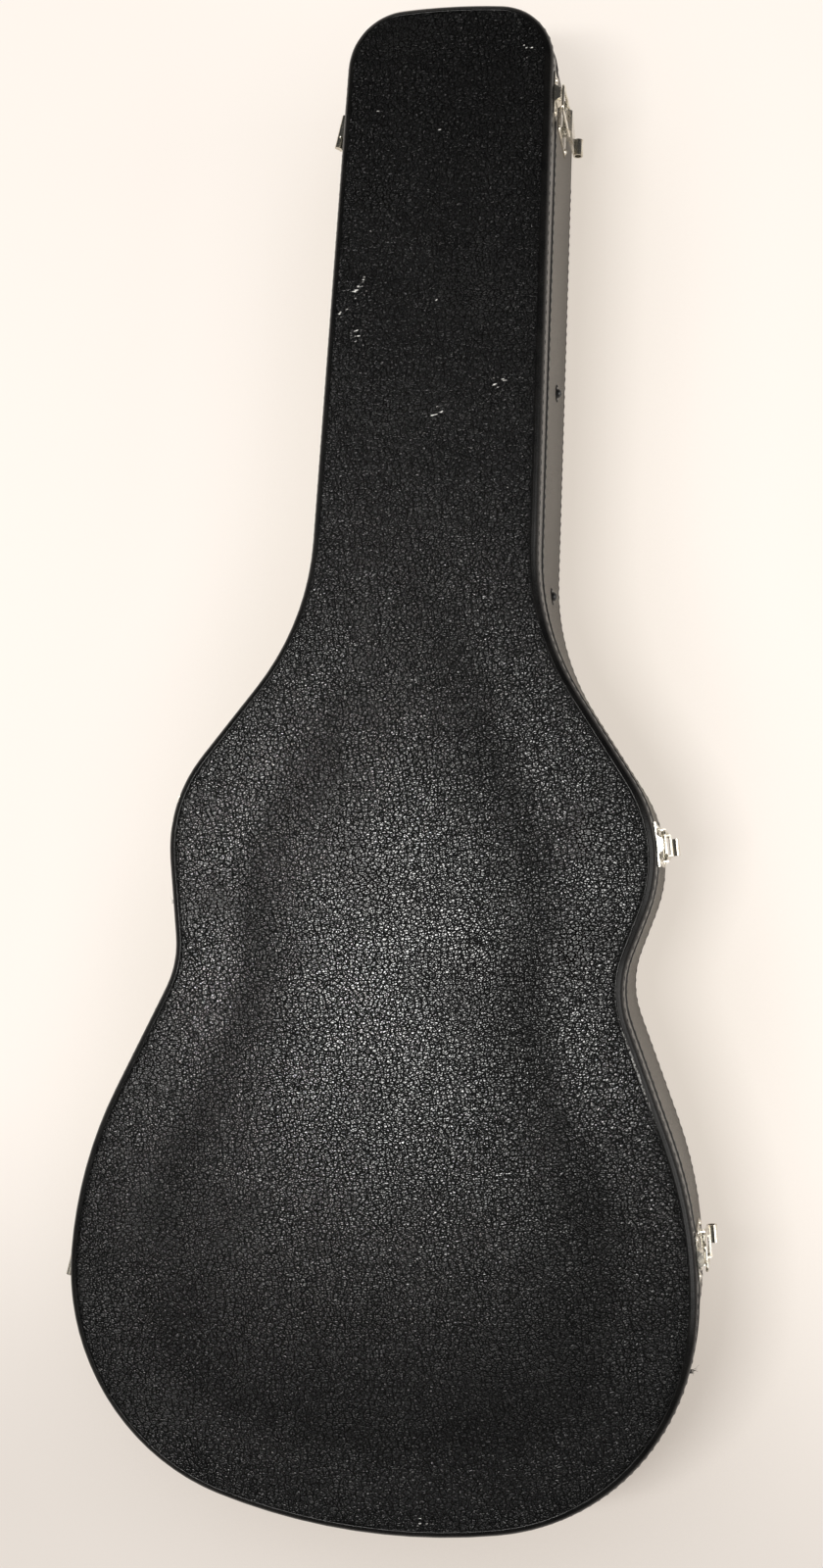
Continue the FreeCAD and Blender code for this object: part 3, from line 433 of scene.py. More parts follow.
def smooth_vinyl(name, worn=0.0):
    """Smooth black vinyl of the bindings, faintly rippled, rubbed pale where wear says so."""
    n = Nodes(name)
    ripple = n.noise(n.place, 60.0, detail=3.0)
    pores = n.noise(n.place, 1500.0, detail=2.0)
    n.bump(n.math("ADD", ripple, n.math("MULTIPLY", pores, 0.25)), 0.25 * MM)
    tone = n.mix(n.ramp(ripple, 0.35, 0.65), grey(0.0035), grey(0.0070, (1.0, 0.96, 0.92)))
    rough = n.ramp(pores, 0.3, 0.7, 0.20, 0.30)
    if worn:
        wear = n.add("ShaderNodeAttribute", attribute_name="wear").outputs["Fac"]
        speck = n.noise(n.place, 700.0, detail=4.0, rough=0.7)
        rub = n.ramp(n.math("ADD", speck, n.math("MULTIPLY", wear, worn)), 0.86, 0.95)
        rub = n.math("MULTIPLY", rub, n.ramp(wear, 0.05, 0.35))
        tone = n.mix(rub, tone, grey(0.34, (1.0, 0.98, 0.95)))
        rough = n.math("ADD", rough, n.math("MULTIPLY", rub, 0.3))
    return n.finish(tone, rough, IOR=1.25)


def nickel():
    """Old nickel plate: slightly yellow, clouded, with fine scratches."""
    n = Nodes("nickel")
    cloud = n.noise(n.place, 130.0, detail=3.0)
    scratch = n.noise(n.scaled((1.0, 1.0, 14.0)), 900.0, detail=2.0)
    n.bump(n.math("ADD", cloud, n.math("MULTIPLY", scratch, 0.12)), 0.04 * MM)
    tone = n.mix(n.ramp(cloud, 0.45, 0.75), grey(0.74, (1.0, 0.96, 0.86)), grey(0.52, (1.0, 0.90, 0.72)))
    rough = n.math("ADD", n.ramp(cloud, 0.3, 0.8, 0.17, 0.32), n.ramp(scratch, 0.5, 0.8, 0.0, 0.06))
    return n.finish(tone, rough, metallic=1.0)


def black_enamel(name, lit_crown):
    """Black enamel; the second kind carries a painted highlight: bright metal colour at its crown, where it
    faces straight along X.
    """
    n = Nodes(name)
    patchy = n.noise(n.place, 1400.0, detail=3.0)
    n.bump(patchy, 0.05 * MM)
    tone = n.mix(patchy, grey(0.006), grey(0.014))
    if lit_crown:
        # Painted highlight: bright colour where the surface faces straight along X, at the crown.
        facing = n.add("ShaderNodeNewGeometry").outputs["Normal"]
        apart = n.add("ShaderNodeSeparateXYZ")
        n.link(facing, apart.inputs[0])
        sideways = n.math("ABSOLUTE", apart.outputs["X"])
        crown_glint = n.ramp(n.math("ADD", sideways, n.math("MULTIPLY", patchy, 0.04)), 1.0, 1.02)
        tone = n.mix(crown_glint, tone, grey(0.62, (1.0, 0.95, 0.88)))
    return n.finish(tone, n.ramp(patchy, 0.3, 0.7, 0.25, 0.40))


WINE_RED = (0.20, 0.012, 0.020)
PILE_SHADE = 0.72           # what is left of the tone where the pile is brushed the other way


def plush():
    """Short-pile plush with brushed patches."""
    n = Nodes("plush")
    pile = n.noise(n.place, 2400.0, detail=2.0)
    brushed = n.noise(n.warped(n.place, 9.0, 0.05), 14.0, detail=3.0)
    n.bump(n.math("ADD", pile, n.math("MULTIPLY", brushed, 1.4)), 0.35 * MM)
    deep = grey(PILE_SHADE, WINE_RED)
    full = grey(1, WINE_RED)
    colour = n.mix(n.ramp(brushed, 0.35, 0.65), deep, full)
    colour = n.mix(n.ramp(pile, 0.25, 0.75, 0.0, 0.5), colour, deep)
    return n.finish(colour, n.ramp(pile, 0.3, 0.7, 0.85, 1.0), Sheen_Weight=0.55, Sheen_Roughness=0.35,
                    Sheen_Tint=(0.85, 0.30, 0.33, 1.0))


def ribbon():
    """Woven tape, ribbed across, with painted shade in the grooves between the ribs."""
    n = Nodes("ribbon")
    wave = n.add("ShaderNodeTexWave", bands_direction="Y")
    n.link(n.place, wave.inputs["Vector"])
    wave.inputs["Scale"].default_value = 420.0
    wave.inputs["Distortion"].default_value = 0.6
    ribs = wave.outputs["Fac"]
    n.bump(ribs, 0.12 * MM)
    # Painted shade: the grooves between the ribs take a darker colour than the crests.
    tone = n.mix(ribs, (0.035, 0.004, 0.006, 1.0), (0.10, 0.010, 0.016, 1.0))
    return n.finish(tone, n.ramp(ribs, 0.0, 1.0, 0.75, 0.55), Sheen_Weight=0.3)


def fibre_board():
    """Dark fibre board of the locating lip."""
    n = Nodes("fibre_board")
    fibres = n.noise(n.scaled((1.0, 1.0, 6.0)), 500.0, detail=4.0)
    n.bump(fibres, 0.12 * MM)
    tone = n.mix(fibres, grey(0.018), grey(0.045, (1.0, 0.95, 0.9)))
    return n.finish(tone, n.ramp(fibres, 0.3, 0.7, 0.6, 0.8))


def thread(name, tone):
    """Twisted thread, painted darker in its twists as shade."""
    n = Nodes(name)
    twist = n.noise(n.scaled((1.0, 1.0, 2.0)), 2400.0, detail=2.0)
    n.bump(twist, 0.15 * MM)
    # Painted shade: lower in the twists, the thread takes a darker colour.
    colour = n.mix(twist, grey(tone * 0.6), grey(tone, (1.0, 0.96, 0.9)))
    return n.finish(colour, n.ramp(twist, 0.3, 0.7, 0.5, 0.8))


LEATHER = leathercloth()
WALL_CLOTH = wall_cloth()
VINYL = smooth_vinyl("smooth_vinyl")
WORN_VINYL = smooth_vinyl("worn_vinyl", worn=0.42)
NICKEL = nickel()
ENAMEL = black_enamel("black_enamel", lit_crown=False)
CROWN_LIT_ENAMEL = black_enamel("crown_lit_enamel", lit_crown=True)
PLUSH = plush()
RIBBON = ribbon()
BOARD = fibre_board()
THREAD = thread("black_thread", 0.05)


def paint_node(name, material):
    mesh = nodes[name].data
    mesh.materials.clear()
    mesh.materials.append(material)


for name in nodes:
    if name.startswith(("hinge_", "latch_")):
        paint_node(name, NICKEL)
# The rivets carry a painted highlight on their crowns.
paint_node("box_rivets", CROWN_LIT_ENAMEL)
paint_node("box_rivet_washers", ENAMEL)
paint_node("base_side_wall", WALL_CLOTH)
paint_node("base_back_panel", LEATHER)
paint_node("lid_side_wall", VINYL)
paint_node("base_locating_lip", BOARD)


# ---------------------------------------------------------------- wear, painted on the vertices

def painted_wear(thing, amounts):
    """Stores wear, 0 to 1, on the vertices, where the cloth and the worn vinyl read it."""
    attribute = thing.data.attributes.new("wear", "FLOAT", "POINT")
    attribute.data.foreach_set("value", np.clip(amounts, 0, 1).astype(np.float32))


def positions(thing):
    co = np.empty(len(thing.data.vertices) * 3)
    thing.data.vertices.foreach_get("co", co)
    return co.reshape(-1, 3)


# Rubbed places on the lid: x, y and radius in metres, and how strong.
LID_SCUFFS = [(0.052, 0.488, 0.007, 0.9), (0.010, 0.465, 0.005, 0.8), (-0.050, 0.450, 0.006, 0.8),
              (-0.006, 0.430, 0.006, 0.8), (-0.009, 0.385, 0.005, 0.9), (-0.037, 0.373, 0.006, 0.9),
              (-0.048, 0.360, 0.005, 0.8), (-0.056, 0.322, 0.011, 0.85), (-0.066, 0.302, 0.007, 0.9),
              (-0.056, 0.287, 0.007, 0.9), (-0.044, 0.271, 0.008, 0.9), (-0.003, 0.314, 0.007, 0.9),
              (0.048, 0.254, 0.009, 0.9), (0.005, 0.233, 0.008, 0.9), (-0.001, 0.218, 0.005, 0.7),
              (0.058, 0.181, 0.004, 0.8), (0.047, -0.511, 0.012, 0.9), (0.150, -0.330, 0.005, 0.6)]


def scuffed(points):
    """Wear of the lid's cloth at each point."""
    wear = np.zeros(len(points))
    for x, y, radius, strength in LID_SCUFFS:
        near = np.hypot(points[:, 0] - x, points[:, 1] - y) / radius
        wear = np.maximum(wear, strength * (1 - smooth_step(near, 0.5, 1.0)))
    return wear


# ---------------------------------------------------------------- lid

DOME_RISE = 6.2 * MM
DOME_INSET = 54 * MM       # foot of the dome, in from the outline
DOME_CURVE = 60 * MM       # the arch flattens over about this distance from its foot
FLANK_MEETS = 0.144        # where the two flanks of its point would meet on the neck
FLANK_LEAN = 0.486         # flanks of the point, sideways over lengthways
CELL = 3 * MM
SETTLING = 3000            # rounds of pushing the membrane up
EASING = 24                # rounds of easing its foot


def arched_dome():
    """Height of the dome on a square grid: a membrane held down at the foot and pushed up from below."""
    reach_x, low_y, high_y = 0.21, -0.51, 0.17
    xs = np.arange(-reach_x, reach_x + CELL, CELL)
    ys = np.arange(low_y, high_y + CELL, CELL)
    grid_x, grid_y = np.meshgrid(xs, ys)
    spots = np.column_stack([grid_x.ravel(), grid_y.ravel()])
    near = distance_to(OUTLINE, spots).reshape(grid_x.shape)
    flank = (FLANK_MEETS - grid_y) * FLANK_LEAN - abs(grid_x)
    free = (near > DOME_INSET) & (flank > 0)
    free &= within_outline(spots).reshape(grid_x.shape)
    height = np.zeros(grid_x.shape)
    pull = (CELL / DOME_CURVE) ** 2
    for _ in range(SETTLING):
        around = height[:-2, 1:-1] + height[2:, 1:-1] + height[1:-1, :-2] + height[1:-1, 2:]
        height[1:-1, 1:-1] = np.where(free[1:-1, 1:-1], (around + pull) / (4 + pull), 0)
    for _ in range(EASING):
        around = height[:-2, 1:-1] + height[2:, 1:-1] + height[1:-1, :-2] + height[1:-1, 2:]
        height[1:-1, 1:-1] = (around + 4 * height[1:-1, 1:-1]) / 8
    return xs, ys, height * DOME_RISE / height.max()


def within_outline(spots):
    """True for the points on the hub's side of the outline."""
    bearing = np.arctan2(OUTLINE[:, 1] - HUB[1], OUTLINE[:, 0] - HUB[0])
    order = np.argsort(bearing)
    reach = np.hypot(OUTLINE[:, 0] - HUB[0], OUTLINE[:, 1] - HUB[1])[order]
    at = np.arctan2(spots[:, 1] - HUB[1], spots[:, 0] - HUB[0])
    limit = np.interp(at, bearing[order], reach, period=2 * math.pi)
    return np.hypot(spots[:, 0] - HUB[0], spots[:, 1] - HUB[1]) < limit


DOME_X, DOME_Y, DOME_GRID = arched_dome()


def dome_height(points):
    """Height of the dome at each point, between the cells of its grid."""
    height = DOME_GRID
    across = np.clip((points[:, 0] - DOME_X[0]) / CELL, 0, len(DOME_X) - 1.001)
    along = np.clip((points[:, 1] - DOME_Y[0]) / CELL, 0, len(DOME_Y) - 1.001)
    column, row = across.astype(int), along.astype(int)
    u, v = across - column, along - row
    low_side = height[row, column] * (1 - u) + height[row, column + 1] * u
    high_side = height[row + 1, column] * (1 - u) + height[row + 1, column + 1] * u
    return low_side * (1 - v) + high_side * v


CLOTH_INSET = 4.6 * MM      # the cloth runs out over the round as far as this
ROUND = 6.5 * MM


def round_drop(inset):
    """How far the rounded edge has dropped below the flat at a distance in from the outline."""
    short = np.clip(ROUND - inset, 0, ROUND)
    return ROUND - np.sqrt(ROUND ** 2 - short ** 2)


def lid_top(points, depth):
    return LID_FLAT + dome_height(points) - round_drop(depth + CLOTH_INSET)


def lid_under(points, depth):
    return LID_FLAT - PANEL_SHEET + dome_height(points)


lid_panel = sheet_between("lid_panel_cloth", drawn_in(CLOTH_INSET), lid_top, lid_under, "lid", LEATHER)
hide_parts("lid_panel")
painted_wear(lid_panel, scuffed(positions(lid_panel)))


# ---------------------------------------------------------------- bindings, bead and seam strip

def near_hinge(station_line, reach=17 * MM):
    """1 at the stations within reach of a hinge's middle, 0 elsewhere."""
    crossed = np.zeros(len(station_line))
    for place in ("high", "middle", "low"):
        corner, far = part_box("hinge_%s_pin" % place)
        middle = np.array(((corner.x + far.x) / 2, (corner.y + far.y) / 2))
        crossed[np.linalg.norm(station_line - middle, axis=1) < reach] = 1
    return crossed


HINGED = near_hinge(OUTLINE)


LIP = 1.3 * MM              # how far the binding's lip laps on the cloth


def binding_profile(flat, s, lap, wall, sheet):
    """Vinyl binding folded over an edge: a low lip lapped on the cloth, a round, and a turned-in hem.

    s is 1 where the outside is above and -1 where it is below.
    """
    points = [(lap + LIP, flat - s * sheet), (lap + LIP, flat - s * 0.4 * MM),
              (lap + 0.8 * MM, flat + s * 0.02 * MM), (lap + 0.1 * MM, flat + s * 0.14 * MM)]
    start = math.degrees(math.acos(min(1.0, (ROUND - lap + 0.5 * MM) / ROUND)))
    centre = flat - s * ROUND
    for angle in np.radians(np.linspace(start, 0, 10)):
        points.append((ROUND - ROUND * math.cos(angle), centre + s * (ROUND * math.sin(angle) + 0.05 * MM)))
    foot = flat - s * BINDING
    points += [(-0.15 * MM, foot + s * 0.9 * MM), (-0.05 * MM, foot), (wall, foot), (wall, flat - s * sheet)]
    return points[::-1] if s < 0 else points


LID_WALL = high("lid_side_wall").x - high("lid_side_padding").x
BASE_WALL = high("base_side_wall").x - high("base_side_padding").x

BASE_LAP = BINDING - ROUND + 4.9 * MM
BASE_HEM = 0.4 * MM         # the base's binding starts this far above the floor


def vinyl_ring(name, profile, body, material, source):
    """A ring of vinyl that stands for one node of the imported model."""
    thing = sweep(name, profile, body, material)
    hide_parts(source)
    return thing


lid_edge = binding_profile(LID_FLAT, 1, CLOTH_INSET, LID_WALL, PANEL_SHEET)
base_edge = binding_profile(BASE_HEM, -1, BASE_LAP, BASE_WALL, PANEL_SHEET)
lid_binding = vinyl_ring("lid_binding_vinyl", lid_edge, "lid", WORN_VINYL, "lid_edge_binding")
vinyl_ring("base_binding_vinyl", base_edge, "base", VINYL, "base_edge_binding")

LATCH_SIDE = 0.08           # the fold beyond this x is the latch side's
FOLD_RUB = (-0.205, 0.055)  # y of the most rubbed place there, and how far it fades
END_RUB = (0.047, -0.513)   # short rubbed place at the lower end
END_FADE = 12 * MM
END_HALF = 30 * MM


def folded_wear(thing):
    """Rubbed along the latch side's fold, most between waist and lower bout, and at the lower end."""
    co = positions(thing)
    inset = distance_to(OUTLINE, co[:, :2])
    fold = 1 - smooth_step(abs(inset - CLOTH_INSET - 0.3 * MM), 0.5 * MM, 1.6 * MM)
    right = co[:, 0] > LATCH_SIDE
    along = np.where(right, np.exp(-((co[:, 1] - FOLD_RUB[0]) / FOLD_RUB[1]) ** 2), 0)
    at_end = np.exp(-((co[:, 1] - END_RUB[1]) / END_FADE) ** 2) * (abs(co[:, 0] - END_RUB[0]) < END_HALF)
    along = np.maximum(along, 0.55 * at_end)
    along = np.maximum(along, 0.30 * right * (co[:, 1] < -0.05))
    return fold * along


painted_wear(lid_binding, folded_wear(lid_binding))


def bead_profile():
    """Round bead over the seam, flattened where a hinge crosses it."""
    proud = 0.8 * MM * (1 - HINGED)
    middle = (SEAM + BEAD_TOP) / 2
    half = (BEAD_TOP - SEAM) / 2 - 0.15 * MM
    points = []
    for angle in np.radians(np.linspace(-80, 80, 7)):
        points.append((0.25 * MM - (proud + 0.25 * MM) * math.cos(angle), middle + half * math.sin(angle)))
    return points + [(LID_WALL, BEAD_TOP - 0.05 * MM), (LID_WALL, SEAM + 0.05 * MM)]


vinyl_ring("lid_bead_vinyl", bead_profile()[::-1], "lid", VINYL, "lid_bead")


STRIP_MIDDLE = (BASE_WALL_TOP + SEAM) / 2
STRIP_HALF = 1.9 * MM


def strip_profile():
    """Shallow strip under the seam, flattened where a hinge crosses it."""
    proud = 0.35 * MM * (1 - HINGED)
    points = []
    for angle in np.radians(np.linspace(-75, 75, 5)):
        points.append((-proud * math.cos(angle), STRIP_MIDDLE + STRIP_HALF * math.sin(angle)))
    return points + [(BASE_WALL, SEAM - 0.05 * MM), (BASE_WALL, BASE_WALL_TOP)]


vinyl_ring("seam_strip_vinyl", strip_profile()[::-1], "base", VINYL, "base_seam_strip")


# ---------------------------------------------------------------- stitching

def stitches(name, inset, height, body, skip, pitch=7 * MM, length=4.6 * MM, radius=0.32 * MM):
    """Row of thread loops round the case, each a short bowed capsule half sunk in the vinyl."""
    line = resampled(drawn_in(inset), pitch)
    along = np.roll(line, -1, axis=0) - np.roll(line, 1, axis=0)
    along /= np.linalg.norm(along, axis=1)[:, None]
    out = np.column_stack([along[:, 1], -along[:, 0]])
    vertices, faces = [], []
    sides, rings = 6, 5
    for index in range(len(line)):
        if skip(line[index]):
            continue
        first = len(vertices)
        for ring in range(rings):
            share = ring / (rings - 1)
            bow = math.sin(share * math.pi)
            centre = line[index] + along[index] * length * (share - 0.5)
            centre = centre + out[index] * radius * (bow - 0.45)
            thick = radius * (0.45 + 0.55 * bow)
            for side in range(sides):
                turn = 2 * math.pi * side / sides
                spot = centre + out[index] * thick * math.cos(turn)
                vertices.append((spot[0], spot[1], height + thick * math.sin(turn)))
        for ring in range(rings - 1):
            for side in range(sides):
                a = first + ring * sides + side
                b = first + ring * sides + (side + 1) % sides
                faces.append((a, b, b + sides, a + sides))
        faces.append(tuple(first + side for side in range(sides))[::-1])
        faces.append(tuple(first + (rings - 1) * sides + side for side in range(sides)))
    return new_object(name, vertices, faces, body, THREAD)


HARDWARE_BOXES = [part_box(name) for name in nodes if name.endswith(("_leaf", "_base_plate", "_catch"))]
STITCH_CLEAR = 2 * MM


def under_hardware(point):
    """True where a plate, leaf or catch would cover a stitch."""
    for corner, far in HARDWARE_BOXES:
        beside = corner.x - STITCH_CLEAR < point[0] < far.x + STITCH_CLEAR
        if beside and corner.y - STITCH_CLEAR < point[1] < far.y + STITCH_CLEAR:
            return True
    return False


stitches("seam_stitches", -0.32 * MM, STRIP_MIDDLE, "base", under_hardware)
stitches("base_binding_stitches", 0.06 * MM, BASE_WALL_LOW - 1.6 * MM, "base", under_hardware)
stitches("lid_binding_stitches", 0.06 * MM, LID_WALL_TOP + 1.5 * MM, "lid", under_hardware)


def frayed(name, place, reach, strands, body, material):
    """Torn end of the vinyl: thin tapered slivers that stand off the seam and curl.

    Each sliver is a bar of four sides along a curve, closed at both ends.
    """
    dice = np.random.default_rng(SEED + strands)
    root = np.array(place)
    nearest = np.argmin(np.linalg.norm(OUTLINE - root[:2], axis=1))
    out = np.append(NORMALS[nearest], 0)
    along = np.array((-out[1], out[0], 0))
    vertices, faces = [], []
    steps = 7
    for _ in range(strands):
        lean = along * dice.uniform(-0.9, 0.9) + np.array((0, 0, dice.uniform(-0.5, 0.7)))
        start = root + along * dice.uniform(-1.2, 1.2) * MM
        curl = dice.uniform(-0.7, 0.7)
        wide, thin = dice.uniform(0.5, 0.9) * MM, 0.3 * MM
        length = reach * dice.uniform(0.5, 1.0)
        first = len(vertices)
        for step in range(steps):
            share = step / (steps - 1)
            bend = out * (share - 0.15) + lean * share * share + along * curl * share ** 3
            centre = start + bend * length
            half = wide * (1 - 0.8 * share) / 2
            rise = np.array((0, 0, thin * (1 - 0.6 * share) / 2))
            for side, level in ((-1, -1), (1, -1), (1, 1), (-1, 1)):
                vertices.append(centre + along * side * half + rise * level)
        for step in range(steps - 1):
            for corner in range(4):
                a, b = first + step * 4 + corner, first + step * 4 + (corner + 1) % 4
                faces.append((a, b, b + 4, a + 4))
        faces.append((first + 3, first + 2, first + 1, first))
        last = first + (steps - 1) * 4
        faces.append((last, last + 1, last + 2, last + 3))
    return new_object(name, vertices, faces, body, material, smooth=False)


TORN_Z = SEAM - 2 * MM
frayed("frayed_vinyl_low", (0.2128, -0.4005, TORN_Z), 5.5 * MM, 6, "base", VINYL)
frayed("frayed_vinyl_side", (-0.1690, -0.117, TORN_Z), 3.0 * MM, 4, "base", VINYL)


# ---------------------------------------------------------------- linings

TUCKS = 18
LINING_INNER = 12.4 * MM
LID_LINING_INNER = 7.7 * MM
GLUE = 0.1 * MM             # between a lining and what it is glued to


def lining_profile(inner, outer, bottom, top, rounded, swell):
    """Padded wall lining: its face swells between sewn tucks, and its free edge is rounded.

    rounded is the radius of the free edge, negative where that edge points down.
    """
    count = len(OUTLINE)
    tuck = 0.5 + 0.5 * np.cos(np.arange(count) / count * 2 * math.pi * TUCKS)
    puff = swell * (1 - tuck ** 8)
    face = []
    free_up = rounded > 0
    radius = abs(rounded)
    edge = top - radius if free_up else bottom + radius
    sign = 1 if free_up else -1
    other = bottom if free_up else top
    for angle in np.radians(np.linspace(0, 90, 6)):
        face.append((inner - radius + radius * math.cos(angle) + puff * math.cos(angle) * 0.4,
                     edge + sign * radius * math.sin(angle)))
    side = []
    for share in (0.0, 0.25, 0.5, 0.75):
        bulge = 0.4 + 0.6 * math.sin(share * math.pi)
        side.append((inner + puff * bulge * 0.9 - swell * 0.2, other + (edge - other) * share))
    return [(outer, other)] + side + face + [(outer, edge + sign * radius)]


def base_lining():
    """Padded lining of the base's wall, its free edge upwards."""
    profile = lining_profile(LINING_INNER, BASE_WALL + GLUE, FLOOR_TOP + GLUE, LINING_TOP - GLUE, 4 * MM,
                             0.9 * MM)
    thing = sweep("base_wall_lining", profile, "base", PLUSH)
    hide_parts("base_side_padding")


base_lining()


def lid_side_lining():
    """The same in the lid, its free edge downwards."""
    lowest, highest = low("lid_side_padding").z, high("lid_side_padding").z
    profile = lining_profile(LID_LINING_INNER, LID_WALL + GLUE / 2, lowest + GLUE, highest - GLUE, -2.5 * MM,
                             0.4 * MM)
    thing = sweep("lid_wall_lining", profile, "lid", PLUSH)
    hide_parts("lid_side_padding")


lid_side_lining()


BORDER_SHARE = 0.35         # a pad's thickness at its border, as a share of the full one
PAD_GAP = 0.3 * MM          # between a pad and the wall round it


def pillow(depth, thickness, reach):
    """Thickness of a pad that thins towards its border."""
    return thickness * (BORDER_SHARE + (1 - BORDER_SHARE) * smooth_step(depth, 0, reach))


def floor_pad():
    """Soft uneven pad on the base's floor."""
    base = low("base_floor_padding").z
    full = high("base_floor_padding").z - base

    def upper(points, depth):
        wave = np.sin(points[:, 1] * 41 + 2 * np.sin(points[:, 0] * 23)) * np.sin(points[:, 0] * 37 + 1.3)
        return base + pillow(depth, full, 10 * MM) * (0.93 + 0.06 * wave)

    def lower(points, depth):
        return np.full(len(points), base + GLUE / 2)

    line = drawn_in(BASE_WALL + PAD_GAP)
    thing = sheet_between("base_floor_pad", line, upper, lower, "base", PLUSH)
    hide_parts("base_floor_padding")


floor_pad()


def lid_pad():
    """Soft uneven pad under the lid."""
    top = high("lid_padding").z
    full = top - low("lid_padding").z

    def upper(points, depth):
        return np.full(len(points), top - GLUE / 2)

    def lower(points, depth):
        wave = np.sin(points[:, 1] * 35 + 1.7 * np.sin(points[:, 0] * 29)) * np.cos(points[:, 0] * 31)
        return top - pillow(depth, full, 9 * MM) * (0.92 + 0.06 * wave)

    line = drawn_in(LID_WALL + PAD_GAP)
    thing = sheet_between("lid_pad", line, upper, lower, "lid", PLUSH)
    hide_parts("lid_padding")


lid_pad()


# ---------------------------------------------------------------- neck box and cradle

def board_shape(source):
    """Copy of a node's mesh with its flat faces whole again."""
    shape = bmesh.new()
    shape.from_mesh(nodes[source].data)
    bmesh.ops.remove_doubles(shape, verts=shape.verts, dist=0.01 * MM)
    bmesh.ops.dissolve_limit(shape, angle_limit=math.radians(2), verts=shape.verts, edges=shape.edges)
    return shape


def worked(name, shape):
    """Object made from an edit mesh, which is freed."""
    mesh = bpy.data.meshes.new(name)
    shape.to_mesh(mesh)
    shape.free()
    return placed(name, mesh)


def sort_faces(shape):
    """Puts the faces in the order of their corners; cutting them up leaves it different in each run."""
    shape.verts.index_update()
    count = len(shape.verts)

    def rank(face):
        corners = sorted((corner.index for corner in face.verts), reverse=True)
        return sum(index * count ** place for place, index in enumerate(corners))

    shape.faces.sort(key=rank)


def covered_board(source, radius, body):
    """A board of the box, its edges rounded by the plush that is pulled over them."""
    shape = board_shape(source)
    sharp = [e for e in shape.edges if len(e.link_faces) == 2 and e.calc_face_angle(0) > math.radians(30)]
    bmesh.ops.bevel(shape, geom=sharp, offset=radius, segments=4, profile=0.5, affect="EDGES",
                    clamp_overlap=True)
    bmesh.ops.triangulate(shape, faces=[f for f in shape.faces if len(f.verts) > 4])
    sort_faces(shape)
    thing = worked(source + "_plush", shape)
    thing.data.materials.append(PLUSH)
    smooth_faces(thing.data)
    thing.data.set_sharp_from_angle(angle=math.radians(35))
    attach(thing, body)
    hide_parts(source)


BOARD_ROUND = 1.4 * MM
for board in ("box_wall_low", "box_wall_high", "box_shelf"):
    covered_board(board, BOARD_ROUND, "base")
covered_board("box_lid", BOARD_ROUND, "box_lid")


def settled(thing):
    """Works the object's modifiers into its mesh."""
    bpy.context.view_layer.update()
    shown = thing.evaluated_get(bpy.context.evaluated_depsgraph_get())
    mesh = bpy.data.meshes.new_from_object(shown)
    thing.modifiers.clear()
    thing.data = mesh


def padded_cradle():
    """Foam block under plush: its edges roll over softly and its faces swell between them."""
    thing = worked("neck_cradle_pad", board_shape("neck_cradle"))
    remesh = thing.modifiers.new("remesh", "REMESH")
    remesh.mode = "VOXEL"
    remesh.voxel_size = 2.0 * MM
    soften = thing.modifiers.new("soften", "SMOOTH")
    soften.factor = 0.5
    soften.iterations = 9
    settled(thing)
    thing.data.materials.clear()
    thing.data.materials.append(PLUSH)
    smooth_faces(thing.data)
    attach(thing, "base")
    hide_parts("neck_cradle")


padded_cradle()


RIBBON_THICK = 0.6 * MM


def ribbon_strip(name, corner, far, rise, rows, columns):
    """Strip of ribbon over a rectangle; rise(u, v) lifts its lower face, u across and v along."""
    vertices, faces = [], []
    for level in (0.0, RIBBON_THICK):
        for row in range(rows + 1):
            for column in range(columns + 1):
                u, v = column / columns, row / rows
                x = corner.x + (far.x - corner.x) * u
                y = corner.y + (far.y - corner.y) * v
                vertices.append((x, y, corner.z + rise(u, v) + level))
    per_level = (rows + 1) * (columns + 1)

    def quad(*spots):
        faces.append(tuple(level * per_level + row * (columns + 1) + column for row, column, level in spots))

    for row in range(rows):
        for column in range(columns):
            quad((row, column, 1), (row, column + 1, 1), (row + 1, column + 1, 1), (row + 1, column, 1))
            quad((row, column, 0), (row + 1, column, 0), (row + 1, column + 1, 0), (row, column + 1, 0))
    for row in range(rows):
        quad((row, 0, 0), (row, 0, 1), (row + 1, 0, 1), (row + 1, 0, 0))
        quad((row, columns, 0), (row + 1, columns, 0), (row + 1, columns, 1), (row, columns, 1))
    for column in range(columns):
        quad((0, column, 0), (0, column + 1, 0), (0, column + 1, 1), (0, column, 1))
        quad((rows, column, 0), (rows, column, 1), (rows, column + 1, 1), (rows, column + 1, 0))
    return new_object(name, vertices, faces, None, RIBBON)


def hinge_tape():
    """Cloth tape glued to the shelf and to the box's lid, which is its hinge."""
    corner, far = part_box("box_hinge_tape")
    hinge_y = low("box_shelf").y
    half_width = far.y - hinge_y
    ends = Vector((corner.x, hinge_y - half_width, corner.z)), Vector((far.x, hinge_y + half_width, corner.z))

    def rise(u, v):
        middle = math.exp(-((v - 0.5) / 0.10) ** 2)
        return 0.25 * MM * middle + 0.05 * MM * math.sin(u * 40) * math.sin(v * 9)

    tape = ribbon_strip("box_hinge_cloth", ends[0], ends[1], rise, 24, 30)
    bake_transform(tape)
    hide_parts("box_hinge_tape")


hinge_tape()


def pull_tab():
    """Short ribbon stitched to the box's lid, its free end curled up a little."""
    corner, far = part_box("box_pull_tab")

    def rise(u, v):
        curl = (1 - v) ** 2 * 0.5 * MM
        return curl + 0.1 * MM * math.sin(v * 7 + u)

    tab = ribbon_strip("box_lid_ribbon", corner, far, rise, 16, 10)
    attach(tab, "box_lid")
    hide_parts("box_pull_tab")


pull_tab()


# ---------------------------------------------------------------- stage, light and camera

